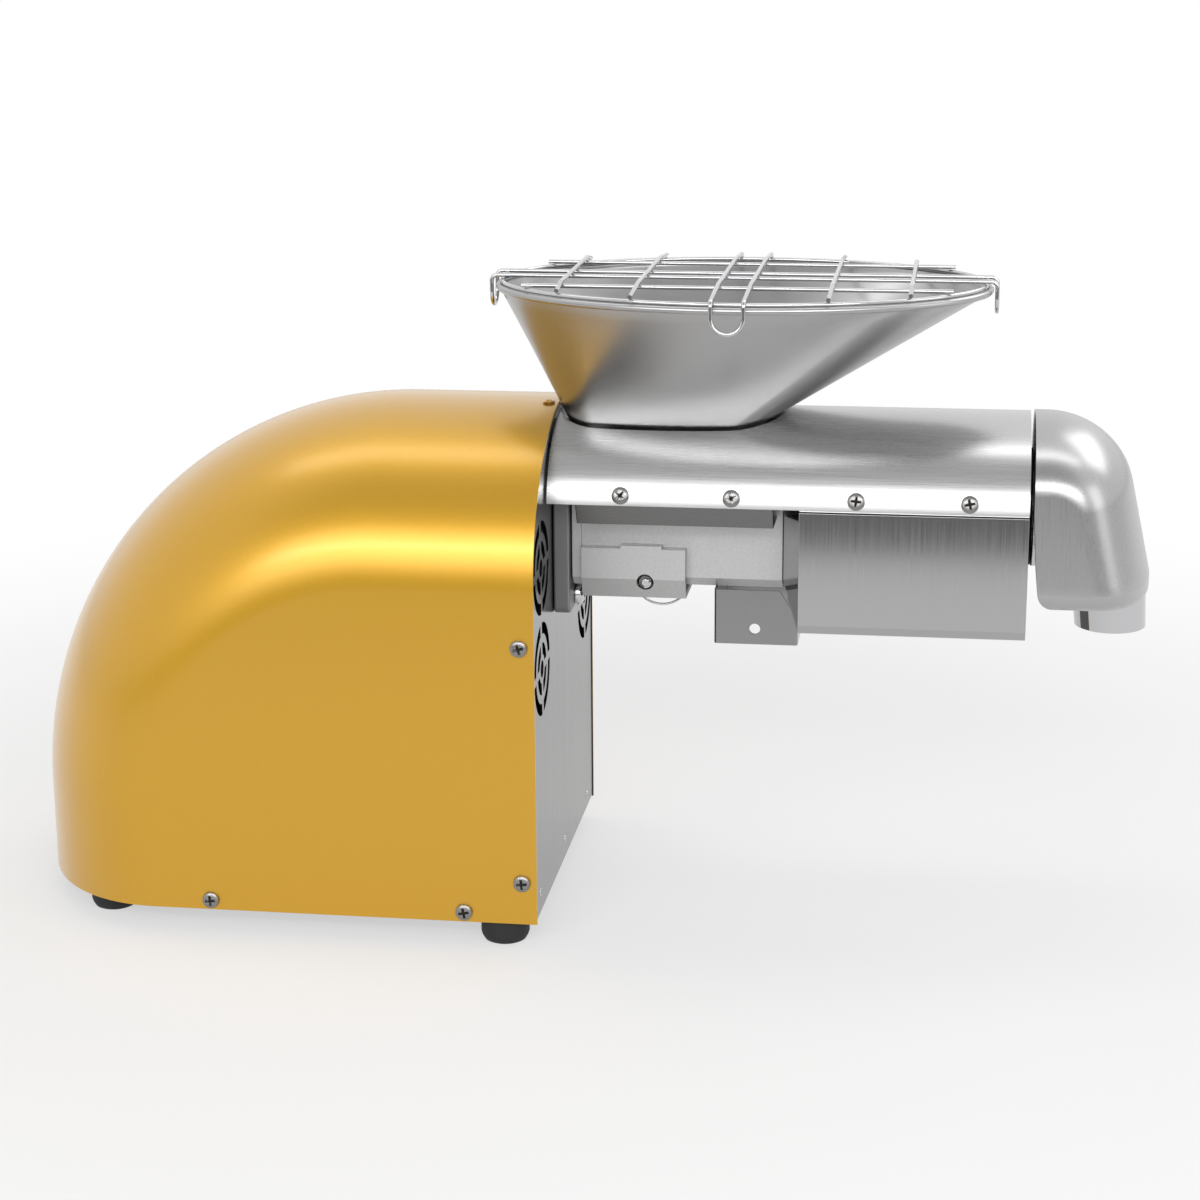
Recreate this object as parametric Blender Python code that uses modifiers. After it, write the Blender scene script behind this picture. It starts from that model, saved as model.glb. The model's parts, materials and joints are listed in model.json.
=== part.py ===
"""Screw oil press: a crowned sheet housing with motor and gears, and a press head in front of it.

Lengths are metres. In the press frame x runs from the front panel's outer face towards the outlet,
y from the mid-plane to the control side, and z up from the table. One empty holds that frame, so
that the whole press stands centred over the origin. Every moving group hangs on an empty of its own,
which sits on the axis that the group turns about or slides along.
"""

import math

import bmesh
import bpy
from mathutils import Vector

for old in list(bpy.data.objects):
    bpy.data.objects.remove(old, do_unlink=True)

# Shared clearances and sheet
SEAT_GAP = 0.0003
RUN_GAP = 0.0005
OVERRUN = 0.004
BITE = 0.0008
SHEET = 0.0015
THIN_SHEET = 0.0012

# Housing: crowned shell, panel, tray and feet
HOUSING_WIDTH = 0.200
HOUSING_LENGTH = 0.281
HOUSING_TOP = 0.268
HOUSING_BOTTOM = 0.0135
TOP_FLAT = 0.080
SHOULDER_Z = 0.060
CROWN_DEPTH = 0.080
PANEL_LIP = 0.0006
FOOT_HEIGHT = 0.0145
FOOT_RADIUS = 0.0125
FOOT_TAPER = 0.0015
FRONT_FOOT_BACK = 0.0186
FRONT_FOOT_INSET = 0.0150
REAR_FOOT_AHEAD = 0.0470
REAR_FOOT_INSET = 0.0350
TRAY_FLANGE = 0.0140
HALF_WIDTH = HOUSING_WIDTH / 2

# Vents of the front panel
VENT_HOLE = 0.0045
VENT_RINGS = (0.0105, 0.0210)
VENT_SLOT = 0.0060
VENT_BRIDGE = 0.0043
VENT_TURN_DEG = 4.0
VENT_SLOTS = 4
VENT_SLOT_STEPS = 3
VENT_EDGE = 0.0280
VENT_RISE = 0.0062
VENT_PITCH = 0.0527
VENT_HIGH_Z = HOUSING_TOP - CROWN_DEPTH + VENT_RISE
VENT_LOW_Z = VENT_HIGH_Z - VENT_PITCH

# Screws
SCREW_HEAD_RADIUS = 0.0044
SCREW_HEAD_HEIGHT = 0.0024
LOW_SCREW_Z = 0.0190
REAR_SCREW_AHEAD = 0.1105
MIDDLE_SCREW_BACK = 0.0372
FRONT_SCREW_BACK = 0.0070
FRONT_SCREW_Z = (0.0360, 0.1600)
BOLT_RADIUS = 0.0055
BOLT_HEAD = 0.0045

# Gear train
AXIS_Z = 0.2160
OUTPUT_TEETH = 40
MIDDLE_SMALL_TEETH = 10
MIDDLE_LARGE_TEETH = 30
ROTOR_TEETH = 10
OUTPUT_MODULE = 0.00210
ROTOR_MODULE = 0.00175
ADDENDUM_SHARE = 0.70
DEDENDUM_SHARE = 0.95
BACKLASH_SHARE = 0.16
PRESSURE_ANGLE = math.radians(20)
MIDDLE_Z = AXIS_Z - OUTPUT_MODULE * (OUTPUT_TEETH + MIDDLE_SMALL_TEETH) / 2
ROTOR_Z = MIDDLE_Z - ROTOR_MODULE * (MIDDLE_LARGE_TEETH + ROTOR_TEETH) / 2
LID_THICKNESS = 0.0060
CASE_WALL = 0.0035
CASE_BACK = 0.0050
CASE_DEPTH = 0.0425
GEAR_ROOM = 0.0015
OUTPUT_GEAR_WIDTH = 0.0150
MIDDLE_LARGE_WIDTH = 0.0100
OUTPUT_SHAFT_RADIUS = 0.0090
SHOULDER_RADIUS = 0.0118
BEARING_RADIUS = 0.0165
PIN_RADIUS = 0.0050

# Motor and what stands beside it
MOTOR_RADIUS = 0.0480
MOTOR_LENGTH = 0.1180
MOTOR_BELL = 0.0180
MOTOR_BELL_STEP = 0.0060
MOTOR_FINS = 3
MOTOR_FIN_DEPTH = 0.0030
FAN_RADIUS = 0.0420
FAN_HUB_RADIUS = 0.0100
FAN_LENGTH = 0.0140
FAN_BLADES = 7
FAN_BLADE = 0.0012
FAN_ROOT_TWIST_DEG = 38.0
FAN_TIP_TWIST_DEG = 53.0
FAN_DEPTH_SHARE = 0.84
CRADLE_WIDTH = 0.0700
CRADLE_PLATE = 0.0030
CRADLE_SPAN = 0.0640
CRADLE_FLANGE = 0.0180
CAPACITOR_RADIUS = 0.0150
CAPACITOR_LENGTH = 0.0560
CAPACITOR_INSET = 0.0380

# Press head: flange, arm, clamp, barrel
FLANGE_HALF = 0.0350
FLANGE_DROP = 0.0560
FLANGE_RISE = 0.0340
FLANGE_LOW_Z = AXIS_Z - FLANGE_DROP
FLANGE_TOP_Z = AXIS_Z + FLANGE_RISE
FLANGE_THICKNESS = 0.0084
FLANGE_CORNER = 0.0040
FLANGE_BOLT_Y = 0.0150
FLANGE_BOLT_INSET = 0.0065
ARM_END_X = 0.1180
ARM_HALF = 0.0280
ARM_LOW_DROP = 0.0410
ARM_LOW_Z = AXIS_Z - ARM_LOW_DROP
ARM_TOP_RISE = 0.0343
ARM_TOP_Z = AXIS_Z + ARM_TOP_RISE
ARM_CHAMFER = 0.0050
SADDLE_HALF = ARM_HALF - ARM_CHAMFER
COLLAR_X = 0.0142
COLLAR_HALF = 0.0310
SADDLE_DROP = 0.0025
CLAMP_X = (0.0146, 0.0685)
CLAMP_HALF = 0.0340
CLAMP_TOP_DROP = 0.0202
CLAMP_TOP_Z = AXIS_Z - CLAMP_TOP_DROP
CLAMP_LOW_DROP = 0.0470
CLAMP_LOW_Z = AXIS_Z - CLAMP_LOW_DROP
CLAMP_TUCK = 0.0050
CLAMP_TUCK_RISE = 0.0108
CLAMP_STEP_X = (0.0350, 0.0562)
CLAMP_STEP = 0.0016
CLAMP_RELIEF = 0.0020
PIN_X = 0.0477
LOCK_DROP = 0.0379
LOCK_Z = AXIS_Z - LOCK_DROP
LOCK_RADIUS = 0.0034
LOCK_HOLE = 0.0045
LOCK_HEAD_RADIUS = 0.0060
LOCK_HEAD = 0.0030
LOCK_STUB = 0.0070
LOCK_STUB_RADIUS = 0.0028
RING_RADIUS = 0.0158
RING_WIRE = 0.0007
RING_EYE = 0.0015
LOCK_FAR_Y = CLAMP_HALF + SEAT_GAP
RING_Y = LOCK_FAR_Y + LOCK_HEAD + LOCK_STUB / 2
BORE_RADIUS = 0.0166
BARREL_X = 0.0785
BARREL_RADIUS = 0.0218
BARREL_PAST_NUT = 0.0005
SLOT_COUNT = 8
SLOT_WIDTH = 0.0014
SLOT_X = (0.0860, 0.1150)
OIL_WINDOW_X = (0.0880, 0.1155)
OIL_WINDOW_HALF = 0.0160
HEATER_X = (0.1480, 0.2200)
HEATER_WALL = 0.0045
HEATER_LUG = 0.0080
END_RING_THICKNESS = 0.0016
END_RING_RADIUS = 0.0300
NUT_LENGTH = 0.0084
NUT_RADIUS = 0.0316
NUT_SIDES = 12

# Press screw
SCREW_TIP_RADIUS = 0.0160
SCREW_ROOT = (0.0085, 0.0128)
SCREW_PITCH = 0.0280
SCREW_X = (0.0170, 0.2440)
SCREW_THREAD = (0.0070, 0.0036)
SCREW_STEPS = 8
SCREW_NOSE = 0.0060

# Covers of the press head
COVER_X = (0.0010, 0.2413)
END_RING_X = (COVER_X[1] + SEAT_GAP, COVER_X[1] + SEAT_GAP + END_RING_THICKNESS)
NUT_X = (END_RING_X[1] + SEAT_GAP, END_RING_X[1] + SEAT_GAP + NUT_LENGTH)
COVER_HALF = 0.0587
COVER_LOW_RISE = 0.0082
COVER_LOW_Z = AXIS_Z + COVER_LOW_RISE
COVER_STRAIGHT = 0.0088
COVER_TOP_RISE = 0.0485
COVER_TOP_Z = AXIS_Z + COVER_TOP_RISE
RAIL_X = (0.0152, 0.1150)
RAIL_TOP_RISE = 0.0170
RAIL_TOP_Z = AXIS_Z + RAIL_TOP_RISE
RAIL_LOW_DROP = 0.0032
RAIL_LOW_Z = AXIS_Z - RAIL_LOW_DROP
RAIL_SLOPE = 0.0057
HEATER_COVER_X = (0.1186, 0.1280)
HEATER_COVER_TOP_RISE = 0.0069
HEATER_COVER_TOP_Z = AXIS_Z + HEATER_COVER_TOP_RISE
HEATER_COVER_LOW_DROP = 0.0566
HEATER_COVER_LOW_Z = AXIS_Z - HEATER_COVER_LOW_DROP
HEATER_COVER_CHAMFER = 0.0052
HEATER_NECK_HALF = 0.0312
HEATER_NECK_DROP = 0.0395
HEATER_NECK_Z = AXIS_Z - HEATER_NECK_DROP
HEATER_LIP_TOP_RISE = 0.0200
HEATER_LIP_TOP_Z = AXIS_Z + HEATER_LIP_TOP_RISE
CHUTE_X = (0.0832, 0.1263)
CHUTE_HALF = 0.0300
CHUTE_LOW_DROP = 0.0700
CHUTE_LOW_Z = AXIS_Z - CHUTE_LOW_DROP
CHUTE_HOLE_BACK = 0.0221
CHUTE_HOLE_UP = 0.0082
CHUTE_HOLE = (CHUTE_X[1] - CHUTE_HOLE_BACK, CHUTE_LOW_Z + CHUTE_HOLE_UP)
CHUTE_HOLE_RADIUS = 0.0028
CHUTE_CUT_Z = 0.0020

# Hopper
RIM_X = 0.0939
RIM_HALF = (0.1250, 0.0820)
BEAD_RADIUS = 0.0018
NECK_RECT_X = 0.0522
NECK_RECT_HALF = (0.0429, 0.0259)
NECK_CORNER = 0.0120
NECK_SEAT = 0.0015
HOPPER_LOW_Z = ARM_TOP_Z + NECK_SEAT
HOPPER_HEIGHT = 0.0751
RIM_Z = HOPPER_LOW_Z + HOPPER_HEIGHT
THROAT_HALF = (0.0180, 0.0135)
THROAT_CORNER = 0.0050
THROAT_DEPTH = 0.0090
LONG_FLAT_DEG = 37.0
SHORT_FLAT_DEG = 15.0
CORNER_STEPS = 4
LONG_STEPS = 4
SHORT_STEPS = 2
BEAD_TURNS = (-45, 20, 90, 160)
WALL_SHARES = (0.95, 0.0)

# Grille
WIRE_RADIUS = 0.0011
RING_INSET = 0.0015
LONG_WIRE_Y = 0.0427
CROSS_WIRES = (-0.0867, -0.0480, 0.0480, 0.0867)
HAIRPIN_HALF = 0.0080
HAIRPIN_DROP = 0.0160
HAIRPIN_BEND = 0.0030
WIRE_PAST_RING = 0.0022

# Discharge elbow
ELBOW_OFF = 0.0022
ELBOW_X = COVER_X[1] + ELBOW_OFF
ELBOW_NOSE_X = 0.3038
ELBOW_TOP_Z = COVER_TOP_Z
ELBOW_DROP = 0.0490
ELBOW_LOW_Z = AXIS_Z - ELBOW_DROP
ELBOW_FLAT = 0.0060
ELBOW_SHOULDER = (0.0450, 0.0415)
ELBOW_LEAN_DEG = 4.0
ELBOW_NOSE_STEPS = 2
ELBOW_FOOT_RADIUS = 0.0100
ELBOW_TOE_RADIUS = 0.0030
ELBOW_WALL = 0.0014
ELBOW_CROWN = 0.0300
OUTLET_X = 0.2850
OUTLET_RADIUS = 0.0172
OUTLET_WALL = 0.0014
OUTLET_DROP = 0.0125
OUTLET_RISE = 0.0050

# Control side
CONTROL_X = -0.0850
CONTROL_Z = 0.1080
CONTROL_HALF = (0.0450, 0.0420)
CONTROL_PLATE = 0.0009
CONTROL_CORNER = 0.0040
WINDOW_HALF = (0.0200, 0.0080)
WINDOW_UP = 0.0260
BUTTON_RADIUS = 0.0045
BUTTON_TRAVEL = 0.0010
BUTTON_SPREAD = 0.0150
BUTTON_UP = 0.0040
ROCKER_HALF = (0.0065, 0.0090)
ROCKER_SPREAD = 0.0220
ROCKER_DOWN = 0.0215
ROCKER_DEPTH = 0.0080
ROCKER_TILT_DEG = 6.0
BOARD_INSET = 0.0200
BOARD = 0.0016
INLET_AHEAD = 0.1070
INLET_Z = 0.0480
INLET_FLANGE_HALF = (0.0160, 0.0125)
INLET_BODY_HALF = (0.0138, 0.0103)
INLET_SOCKET_HALF = (0.0122, 0.0086)
INLET_DEPTH = 0.0200
INLET_SOCKET_DEPTH = 0.0140

INLET_X = INLET_AHEAD - HOUSING_LENGTH

# Round pieces' facets
COARSE = 10
MEDIUM = 16
FINE = 24
CROWN_STEPS = 12
SHOULDER_STEPS = 12
RING_STEPS = 28
BEND_STEPS = 2
BOW_STEPS = 5

OUTLET_LEAN = math.tan(math.radians(ELBOW_LEAN_DEG)) * OUTLET_DROP
REACH = max(ELBOW_NOSE_X, OUTLET_X + OUTLET_RADIUS + OUTLET_LEAN)
PANEL_X = (HOUSING_LENGTH - REACH) / 2

FACING = {
    "X": (math.pi / 2, 0, math.pi / 2),
    "Y": (math.pi / 2, 0, 0),
    "Z": (0, 0, 0),
}

parts = bpy.data.collections.new("screw_oil_press")
cutters = bpy.data.collections.new("cutters")
bpy.context.scene.collection.children.link(parts)
bpy.context.scene.collection.children.link(cutters)


def empty(name, at, parent=None):
    """An axis or frame that pieces hang on; at is in the press frame."""
    holder = bpy.data.objects.new(name, None)
    holder["at"] = at
    origin = Vector(parent["at"]) if parent else Vector((-PANEL_X, 0, 0))
    holder.location = Vector(at) - origin
    holder.parent = parent
    parts.objects.link(holder)
    return holder


def material(name, colour, roughness, metallic):
    """A plain finish for one kind of surface."""
    finish = bpy.data.materials.new(name)
    finish.use_nodes = True
    shader = finish.node_tree.nodes["Principled BSDF"]
    shader.inputs["Base Color"].default_value = (*colour, 1)
    shader.inputs["Roughness"].default_value = roughness
    shader.inputs["Metallic"].default_value = metallic
    return finish


GOLD = material("gold_paint", (0.58, 0.31, 0.03), 0.35, 0.7)
BRUSHED = material("brushed_stainless", (0.62, 0.62, 0.62), 0.3, 1.0)
POLISHED = material("polished_stainless", (0.66, 0.66, 0.67), 0.12, 1.0)
CAST = material("blasted_casting", (0.45, 0.45, 0.45), 0.55, 0.9)
STEEL = material("machined_steel", (0.5, 0.5, 0.5), 0.3, 1.0)
RUBBER = material("black_rubber", (0.02, 0.02, 0.02), 0.8, 0.0)
BLACK = material("black_plastic", (0.03, 0.03, 0.03), 0.45, 0.0)
CASE_GREY = material("grey_casting", (0.25, 0.25, 0.26), 0.6, 0.4)
BRONZE = material("bearing_bronze", (0.6, 0.4, 0.18), 0.4, 1.0)
BOARD_GREEN = material("circuit_board", (0.03, 0.16, 0.06), 0.5, 0.0)
WINDOW = material("dark_window", (0.02, 0.02, 0.025), 0.1, 0.0)
RED = material("red_plastic", (0.5, 0.02, 0.02), 0.35, 0.0)

press_frame = empty("press_frame", (0, 0, 0))
screw_axis = empty("screw_axis", (0, 0, AXIS_Z), press_frame)
middle_axis = empty("middle_axis", (0, 0, MIDDLE_Z), press_frame)
rotor_axis = empty("rotor_axis", (0, 0, ROTOR_Z), press_frame)
hopper_slide = empty("hopper_slide", (NECK_RECT_X, 0, ARM_TOP_Z), press_frame)
grille_slide = empty("grille_slide", (RIM_X, 0, RIM_Z), hopper_slide)
elbow_slide = empty("elbow_slide", (ELBOW_X, 0, AXIS_Z), press_frame)
lock_slide = empty("lock_slide", (PIN_X, 0, LOCK_Z), press_frame)
ring_pivot = empty("ring_pivot", (PIN_X, RING_Y, LOCK_Z), lock_slide)


def in_frame(obj, holder, at, facing="Z"):
    """Hangs a piece on its holder, with at given in the press frame."""
    obj.parent = holder
    obj.location = Vector(at) - Vector(holder["at"])
    obj.rotation_euler = FACING[facing]


def smooth(obj):
    """Round sides shade smooth, and edges stay sharp."""
    obj.data.shade_smooth()
    obj.data.set_sharp_from_angle(angle=math.radians(35))


def finished(obj, finish):
    """Puts a piece among the parts with its finish."""
    obj.data.materials.clear()
    obj.data.materials.append(finish)
    parts.objects.link(obj)
    return obj


def tool(obj):
    """Keeps a shape that cuts or joins another out of the render."""
    obj.hide_render = True
    obj.display_type = "WIRE"
    cutters.objects.link(obj)
    return obj


def combine(obj, other, operation):
    """Cuts other out of obj, or joins it on."""
    step = obj.modifiers.new(operation.lower(), "BOOLEAN")
    step.operation = operation
    step.solver = "EXACT"
    step.object = other


def cut(obj, *others):
    for other in others:
        combine(obj, tool(other), "DIFFERENCE")


def join(obj, *others):
    for other in others:
        combine(obj, tool(other), "UNION")


def curve_mesh(obj, collection):
    """Turns a filled curve into a welded mesh object in the same place."""
    collection.objects.link(obj)
    bpy.context.view_layer.update()
    graph = bpy.context.evaluated_depsgraph_get()
    mesh = bpy.data.meshes.new_from_object(obj.evaluated_get(graph))
    shape = bmesh.new()
    shape.from_mesh(mesh)
    bmesh.ops.remove_doubles(shape, verts=shape.verts, dist=SEAT_GAP / 100)
    shape.to_mesh(mesh)
    shape.free()
    name, curve = obj.name, obj.data
    solid = bpy.data.objects.new(name + "_mesh", mesh)
    solid.matrix_world = obj.matrix_world.copy()
    bpy.data.objects.remove(obj, do_unlink=True)
    bpy.data.curves.remove(curve)
    solid.name = name
    mesh.name = name
    return solid


def plate(name, loops, low, high, facing="X", side=(0, 0)):
    """A flat piece from its outline and holes, filled between low and high along the facing axis."""
    curve = bpy.data.curves.new(name, "CURVE")
    curve.dimensions = "2D"
    curve.fill_mode = "BOTH"
    curve.extrude = (high - low) / 2
    for loop in loops:
        spline = curve.splines.new("POLY")
        spline.points.add(len(loop) - 1)
        for point, (across, up) in zip(spline.points, loop):
            point.co = (across, up, 0, 1)
        spline.use_cyclic_u = True
    solid = curve_mesh(bpy.data.objects.new(name, curve), parts)
    middle = (low + high) / 2
    at = {
        "X": (middle, side[0], side[1]),
        "Y": (side[0], middle, side[1]),
        "Z": (side[0], side[1], middle),
    }[facing]
    in_frame(solid, press_frame, at, facing)
    smooth(solid)
    return solid


def turned(name, profile, steps, at, facing="X", ring=False):
    """Turns (radius, height) points; heights fall along the outer side, and run along the facing axis."""
    mesh = bpy.data.meshes.new(name)
    edges = [(step, step + 1) for step in range(len(profile) - 1)]
    if ring:
        edges.append((len(profile) - 1, 0))
    mesh.from_pydata([(radius, 0, height) for radius, height in profile], edges, [])
    solid = bpy.data.objects.new(name, mesh)
    turn = solid.modifiers.new("turn", "SCREW")
    turn.axis = "Z"
    turn.steps = steps
    turn.render_steps = steps
    turn.use_merge_vertices = True
    turn.merge_threshold = SEAT_GAP / 100
    turn.use_smooth_shade = False
    in_frame(solid, press_frame, at, facing)
    return solid


def rod(name, radius, low, high, steps, at, facing="X"):
    """A plain cylinder from low to high along its axis."""
    return turned(name, [(0, high), (radius, high), (radius, low), (0, low)], steps, at, facing)


def tube_ring(name, outer, inner, low, high, steps, at, facing="X"):
    """A plain ring or bush."""
    profile = [(outer, high), (outer, low), (inner, low), (inner, high)]
    return turned(name, profile, steps, at, facing, ring=True)


def wire(name, points, radius, holder, closed=False):
    """A bent wire through points of the press frame."""
    curve = bpy.data.curves.new(name, "CURVE")
    curve.dimensions = "3D"
    curve.bevel_depth = radius
    curve.bevel_resolution = 1
    curve.use_fill_caps = True
    spline = curve.splines.new("POLY")
    spline.points.add(len(points) - 1)
    for point, place in zip(spline.points, points):
        point.co = (*(Vector(place) - Vector(holder["at"])), 1)
    spline.use_cyclic_u = closed
    bent = bpy.data.objects.new(name, curve)
    bent.parent = holder
    return bent


def skin(name, rows, extra=(), closed=False):
    """An open surface through rows of points, with extra faces given as lists of (row, column)."""
    width = len(rows[0])
    verts = [point for row in rows for point in row]
    faces = []
    for row in range(len(rows) - 1):
        for column in range(width if closed else width - 1):
            beside = (column + 1) % width
            faces.append((row * width + column, row * width + beside,
                          (row + 1) * width + beside, (row + 1) * width + column))
    loose = []
    for face in extra:
        corners = []
        for corner in face:
            if len(corner) == 2:
                corners.append(corner[0] * width + corner[1])
            else:
                loose.append(corner)
                corners.append(len(verts) + len(loose) - 1)
        faces.append(corners)
    mesh = bpy.data.meshes.new(name)
    mesh.from_pydata(verts + loose, [], faces)
    shape = bmesh.new()
    shape.from_mesh(mesh)
    bmesh.ops.remove_doubles(shape, verts=shape.verts, dist=SEAT_GAP / 100)
    bmesh.ops.recalc_face_normals(shape, faces=shape.faces)
    shape.to_mesh(mesh)
    shape.free()
    surface = bpy.data.objects.new(name, mesh)
    in_frame(surface, press_frame, (0, 0, 0))
    smooth(surface)
    return surface


def turn_faces(surface, outward_point):
    """Makes the face nearest to outward_point look towards it."""
    shape = bmesh.new()
    shape.from_mesh(surface.data)
    target = Vector(outward_point)
    nearest = min(shape.faces, key=lambda face: (face.calc_center_median() - target).length)
    if nearest.normal.dot(target - nearest.calc_center_median()) < 0:
        bmesh.ops.reverse_faces(shape, faces=shape.faces)
    shape.to_mesh(surface.data)
    shape.free()


def thicken(surface, thickness):
    """Gives a sheet its wall behind the faces that it shows."""
    wall = surface.modifiers.new("wall", "SOLIDIFY")
    wall.thickness = thickness
    wall.offset = -1
    wall.use_even_offset = True
    wall.use_quality_normals = True


def arc(centre, radius, start, end, steps):
    """Points of an arc in the plane of an outline, from start to end in degrees."""
    turns = [math.radians(start + (end - start) * step / steps) for step in range(steps + 1)]
    return [(centre[0] + radius * math.cos(t), centre[1] + radius * math.sin(t)) for t in turns]


def circle(centre, radius, steps):
    return arc(centre, radius, 0, 360, steps)[:-1]


def rounded(centre, half, corner, steps=3):
    """A rectangle with round corners."""
    points = []
    for turn, (side, rise) in zip((0, 90, 180, 270), ((1, 1), (-1, 1), (-1, -1), (1, -1))):
        middle = (centre[0] + side * (half[0] - corner), centre[1] + rise * (half[1] - corner))
        points += arc(middle, corner, turn, turn + 90, steps)
    return points


def box_outline(low, high):
    return [(low[0], low[1]), (high[0], low[1]), (high[0], high[1]), (low[0], high[1])]


def crown_turns():
    return [math.radians(-90 + 180 * step / CROWN_STEPS) for step in range(CROWN_STEPS + 1)]


# Housing


def housing_profile():
    """The mid-plane outline from the front of the top to the rear foot: x, z and the way inwards."""
    back, rise = HOUSING_LENGTH - TOP_FLAT, HOUSING_TOP - SHOULDER_Z
    profile = [(PANEL_LIP, HOUSING_TOP, 0, -1)]
    for step in range(SHOULDER_STEPS + 1):
        turn = math.pi / 2 * step / SHOULDER_STEPS
        inward = Vector((math.sin(turn) / back, -math.cos(turn) / rise)).normalized()
        profile.append((-TOP_FLAT - back * math.sin(turn), SHOULDER_Z + rise * math.cos(turn), *inward))
    profile.append((-HOUSING_LENGTH, HOUSING_BOTTOM, 1, 0))
    return profile


def make_housing_cover():
    rows = []
    for x, z, inward_x, inward_z in housing_profile():
        rows.append([])
        for turn in crown_turns():
            inset = CROWN_DEPTH * (1 - math.cos(turn))
            rows[-1].append((x + inward_x * inset, HALF_WIDTH * math.sin(turn), z + inward_z * inset))
    sides = []
    for column, y in ((0, -HALF_WIDTH), (CROWN_STEPS, HALF_WIDTH)):
        edge = [(row, column) for row in range(len(rows))]
        sides.append(edge + [(PANEL_LIP, y, HOUSING_BOTTOM)])
    shell = skin("housing_cover", rows, sides)
    turn_faces(shell, (-HOUSING_LENGTH, 0, HOUSING_TOP))
    thicken(shell, SHEET)
    wall = (HALF_WIDTH - SHEET - OVERRUN, HALF_WIDTH + OVERRUN)
    low, high = control_cutout()
    cut(shell, plate("control_cutout", [box_outline(low, high)], *wall, "Y"))
    inlet = rounded((INLET_X, INLET_Z), [half + SEAT_GAP for half in INLET_BODY_HALF], CONTROL_CORNER / 2)
    cut(shell, plate("inlet_cutout", [inlet], *wall, "Y"))
    return finished(shell, GOLD)


def control_cutout():
    """The window in the shell behind the control plate, round its buttons and rockers."""
    reach = ROCKER_SPREAD + ROCKER_HALF[0] + RUN_GAP * 2
    low = (CONTROL_X - reach, CONTROL_Z - ROCKER_DOWN - ROCKER_HALF[1] - RUN_GAP * 3)
    high = (CONTROL_X + reach, CONTROL_Z + BUTTON_UP + BUTTON_RADIUS + RUN_GAP * 3)
    return low, high


def crown_section(inset, low_z):
    """The housing's cross-section, inset from its outer face."""
    centre_z = HOUSING_TOP - CROWN_DEPTH
    points = []
    for turn in crown_turns():
        across = (HALF_WIDTH - inset) * math.sin(turn)
        points.append((across, centre_z + (CROWN_DEPTH - inset) * math.cos(turn)))
    return points + [(HALF_WIDTH - inset, low_z), (-HALF_WIDTH + inset, low_z)]


def vent(centre):
    """A round hole inside rings of arc slots, with straight bridges between the slots."""
    openings = [circle(centre, VENT_HOLE, COARSE)]
    for radius in VENT_RINGS:
        inner, outer = radius - VENT_SLOT / 2, radius + VENT_SLOT / 2
        for slot in range(VENT_SLOTS):
            turn = VENT_TURN_DEG + 360 / VENT_SLOTS * slot
            spare = [math.degrees(math.asin(VENT_BRIDGE / 2 / side)) for side in (outer, inner)]
            reach = turn + 360 / VENT_SLOTS
            openings.append(arc(centre, outer, turn + spare[0], reach - spare[0], VENT_SLOT_STEPS)
                            + arc(centre, inner, reach - spare[1], turn + spare[1], VENT_SLOT_STEPS))
    return openings


def make_front_panel():
    inset = SHEET + RUN_GAP
    loops = [crown_section(inset, HOUSING_BOTTOM + SHEET)]
    loops.append(circle((0, AXIS_Z), SHOULDER_RADIUS + RUN_GAP * 4, MEDIUM))
    vent_y = HALF_WIDTH - VENT_EDGE
    for y in (-vent_y, vent_y):
        for z in (VENT_HIGH_Z, VENT_LOW_Z):
            loops += vent((y, z))
    return finished(plate("front_panel", loops, -SHEET, 0), POLISHED)


def tray_outline(inset):
    """The housing's plan behind the panel, inset from its outer face."""
    centre_x = CROWN_DEPTH - HOUSING_LENGTH
    front = -SHEET - SEAT_GAP
    points = [(front, HALF_WIDTH - inset)]
    for turn in reversed(crown_turns()):
        across = (HALF_WIDTH - inset) * math.sin(turn)
        points.append((centre_x - (CROWN_DEPTH - inset) * math.cos(turn), across))
    return points + [(front, -HALF_WIDTH + inset)]


TRAY_Z = FOOT_HEIGHT + SEAT_GAP


def make_base_tray():
    outline = tray_outline(SHEET + RUN_GAP)
    floor = [(x, y, TRAY_Z) for x, y in outline]
    rim = [(x, y, TRAY_Z + TRAY_FLANGE) for x, y in outline]
    tray = skin("base_tray", [floor, rim], [[(0, column) for column in range(len(outline))]], closed=True)
    turn_faces(tray, (-HOUSING_LENGTH / 2, 0, -HOUSING_LENGTH))
    thicken(tray, SHEET)
    return finished(tray, CASE_GREY)


def make_feet():
    profile = [(0, FOOT_HEIGHT), (FOOT_RADIUS, FOOT_HEIGHT), (FOOT_RADIUS, FOOT_TAPER * 2),
               (FOOT_RADIUS - FOOT_TAPER, 0), (0, 0)]
    places = (("front", -FRONT_FOOT_BACK, HALF_WIDTH - FRONT_FOOT_INSET),
              ("rear", REAR_FOOT_AHEAD - HOUSING_LENGTH, HALF_WIDTH - REAR_FOOT_INSET))
    for row, x, y in places:
        for side, sign in (("near", -1), ("far", 1)):
            finished(turned(f"foot_{row}_{side}", profile, MEDIUM, (x, sign * y, 0), "Z"), RUBBER)


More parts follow.
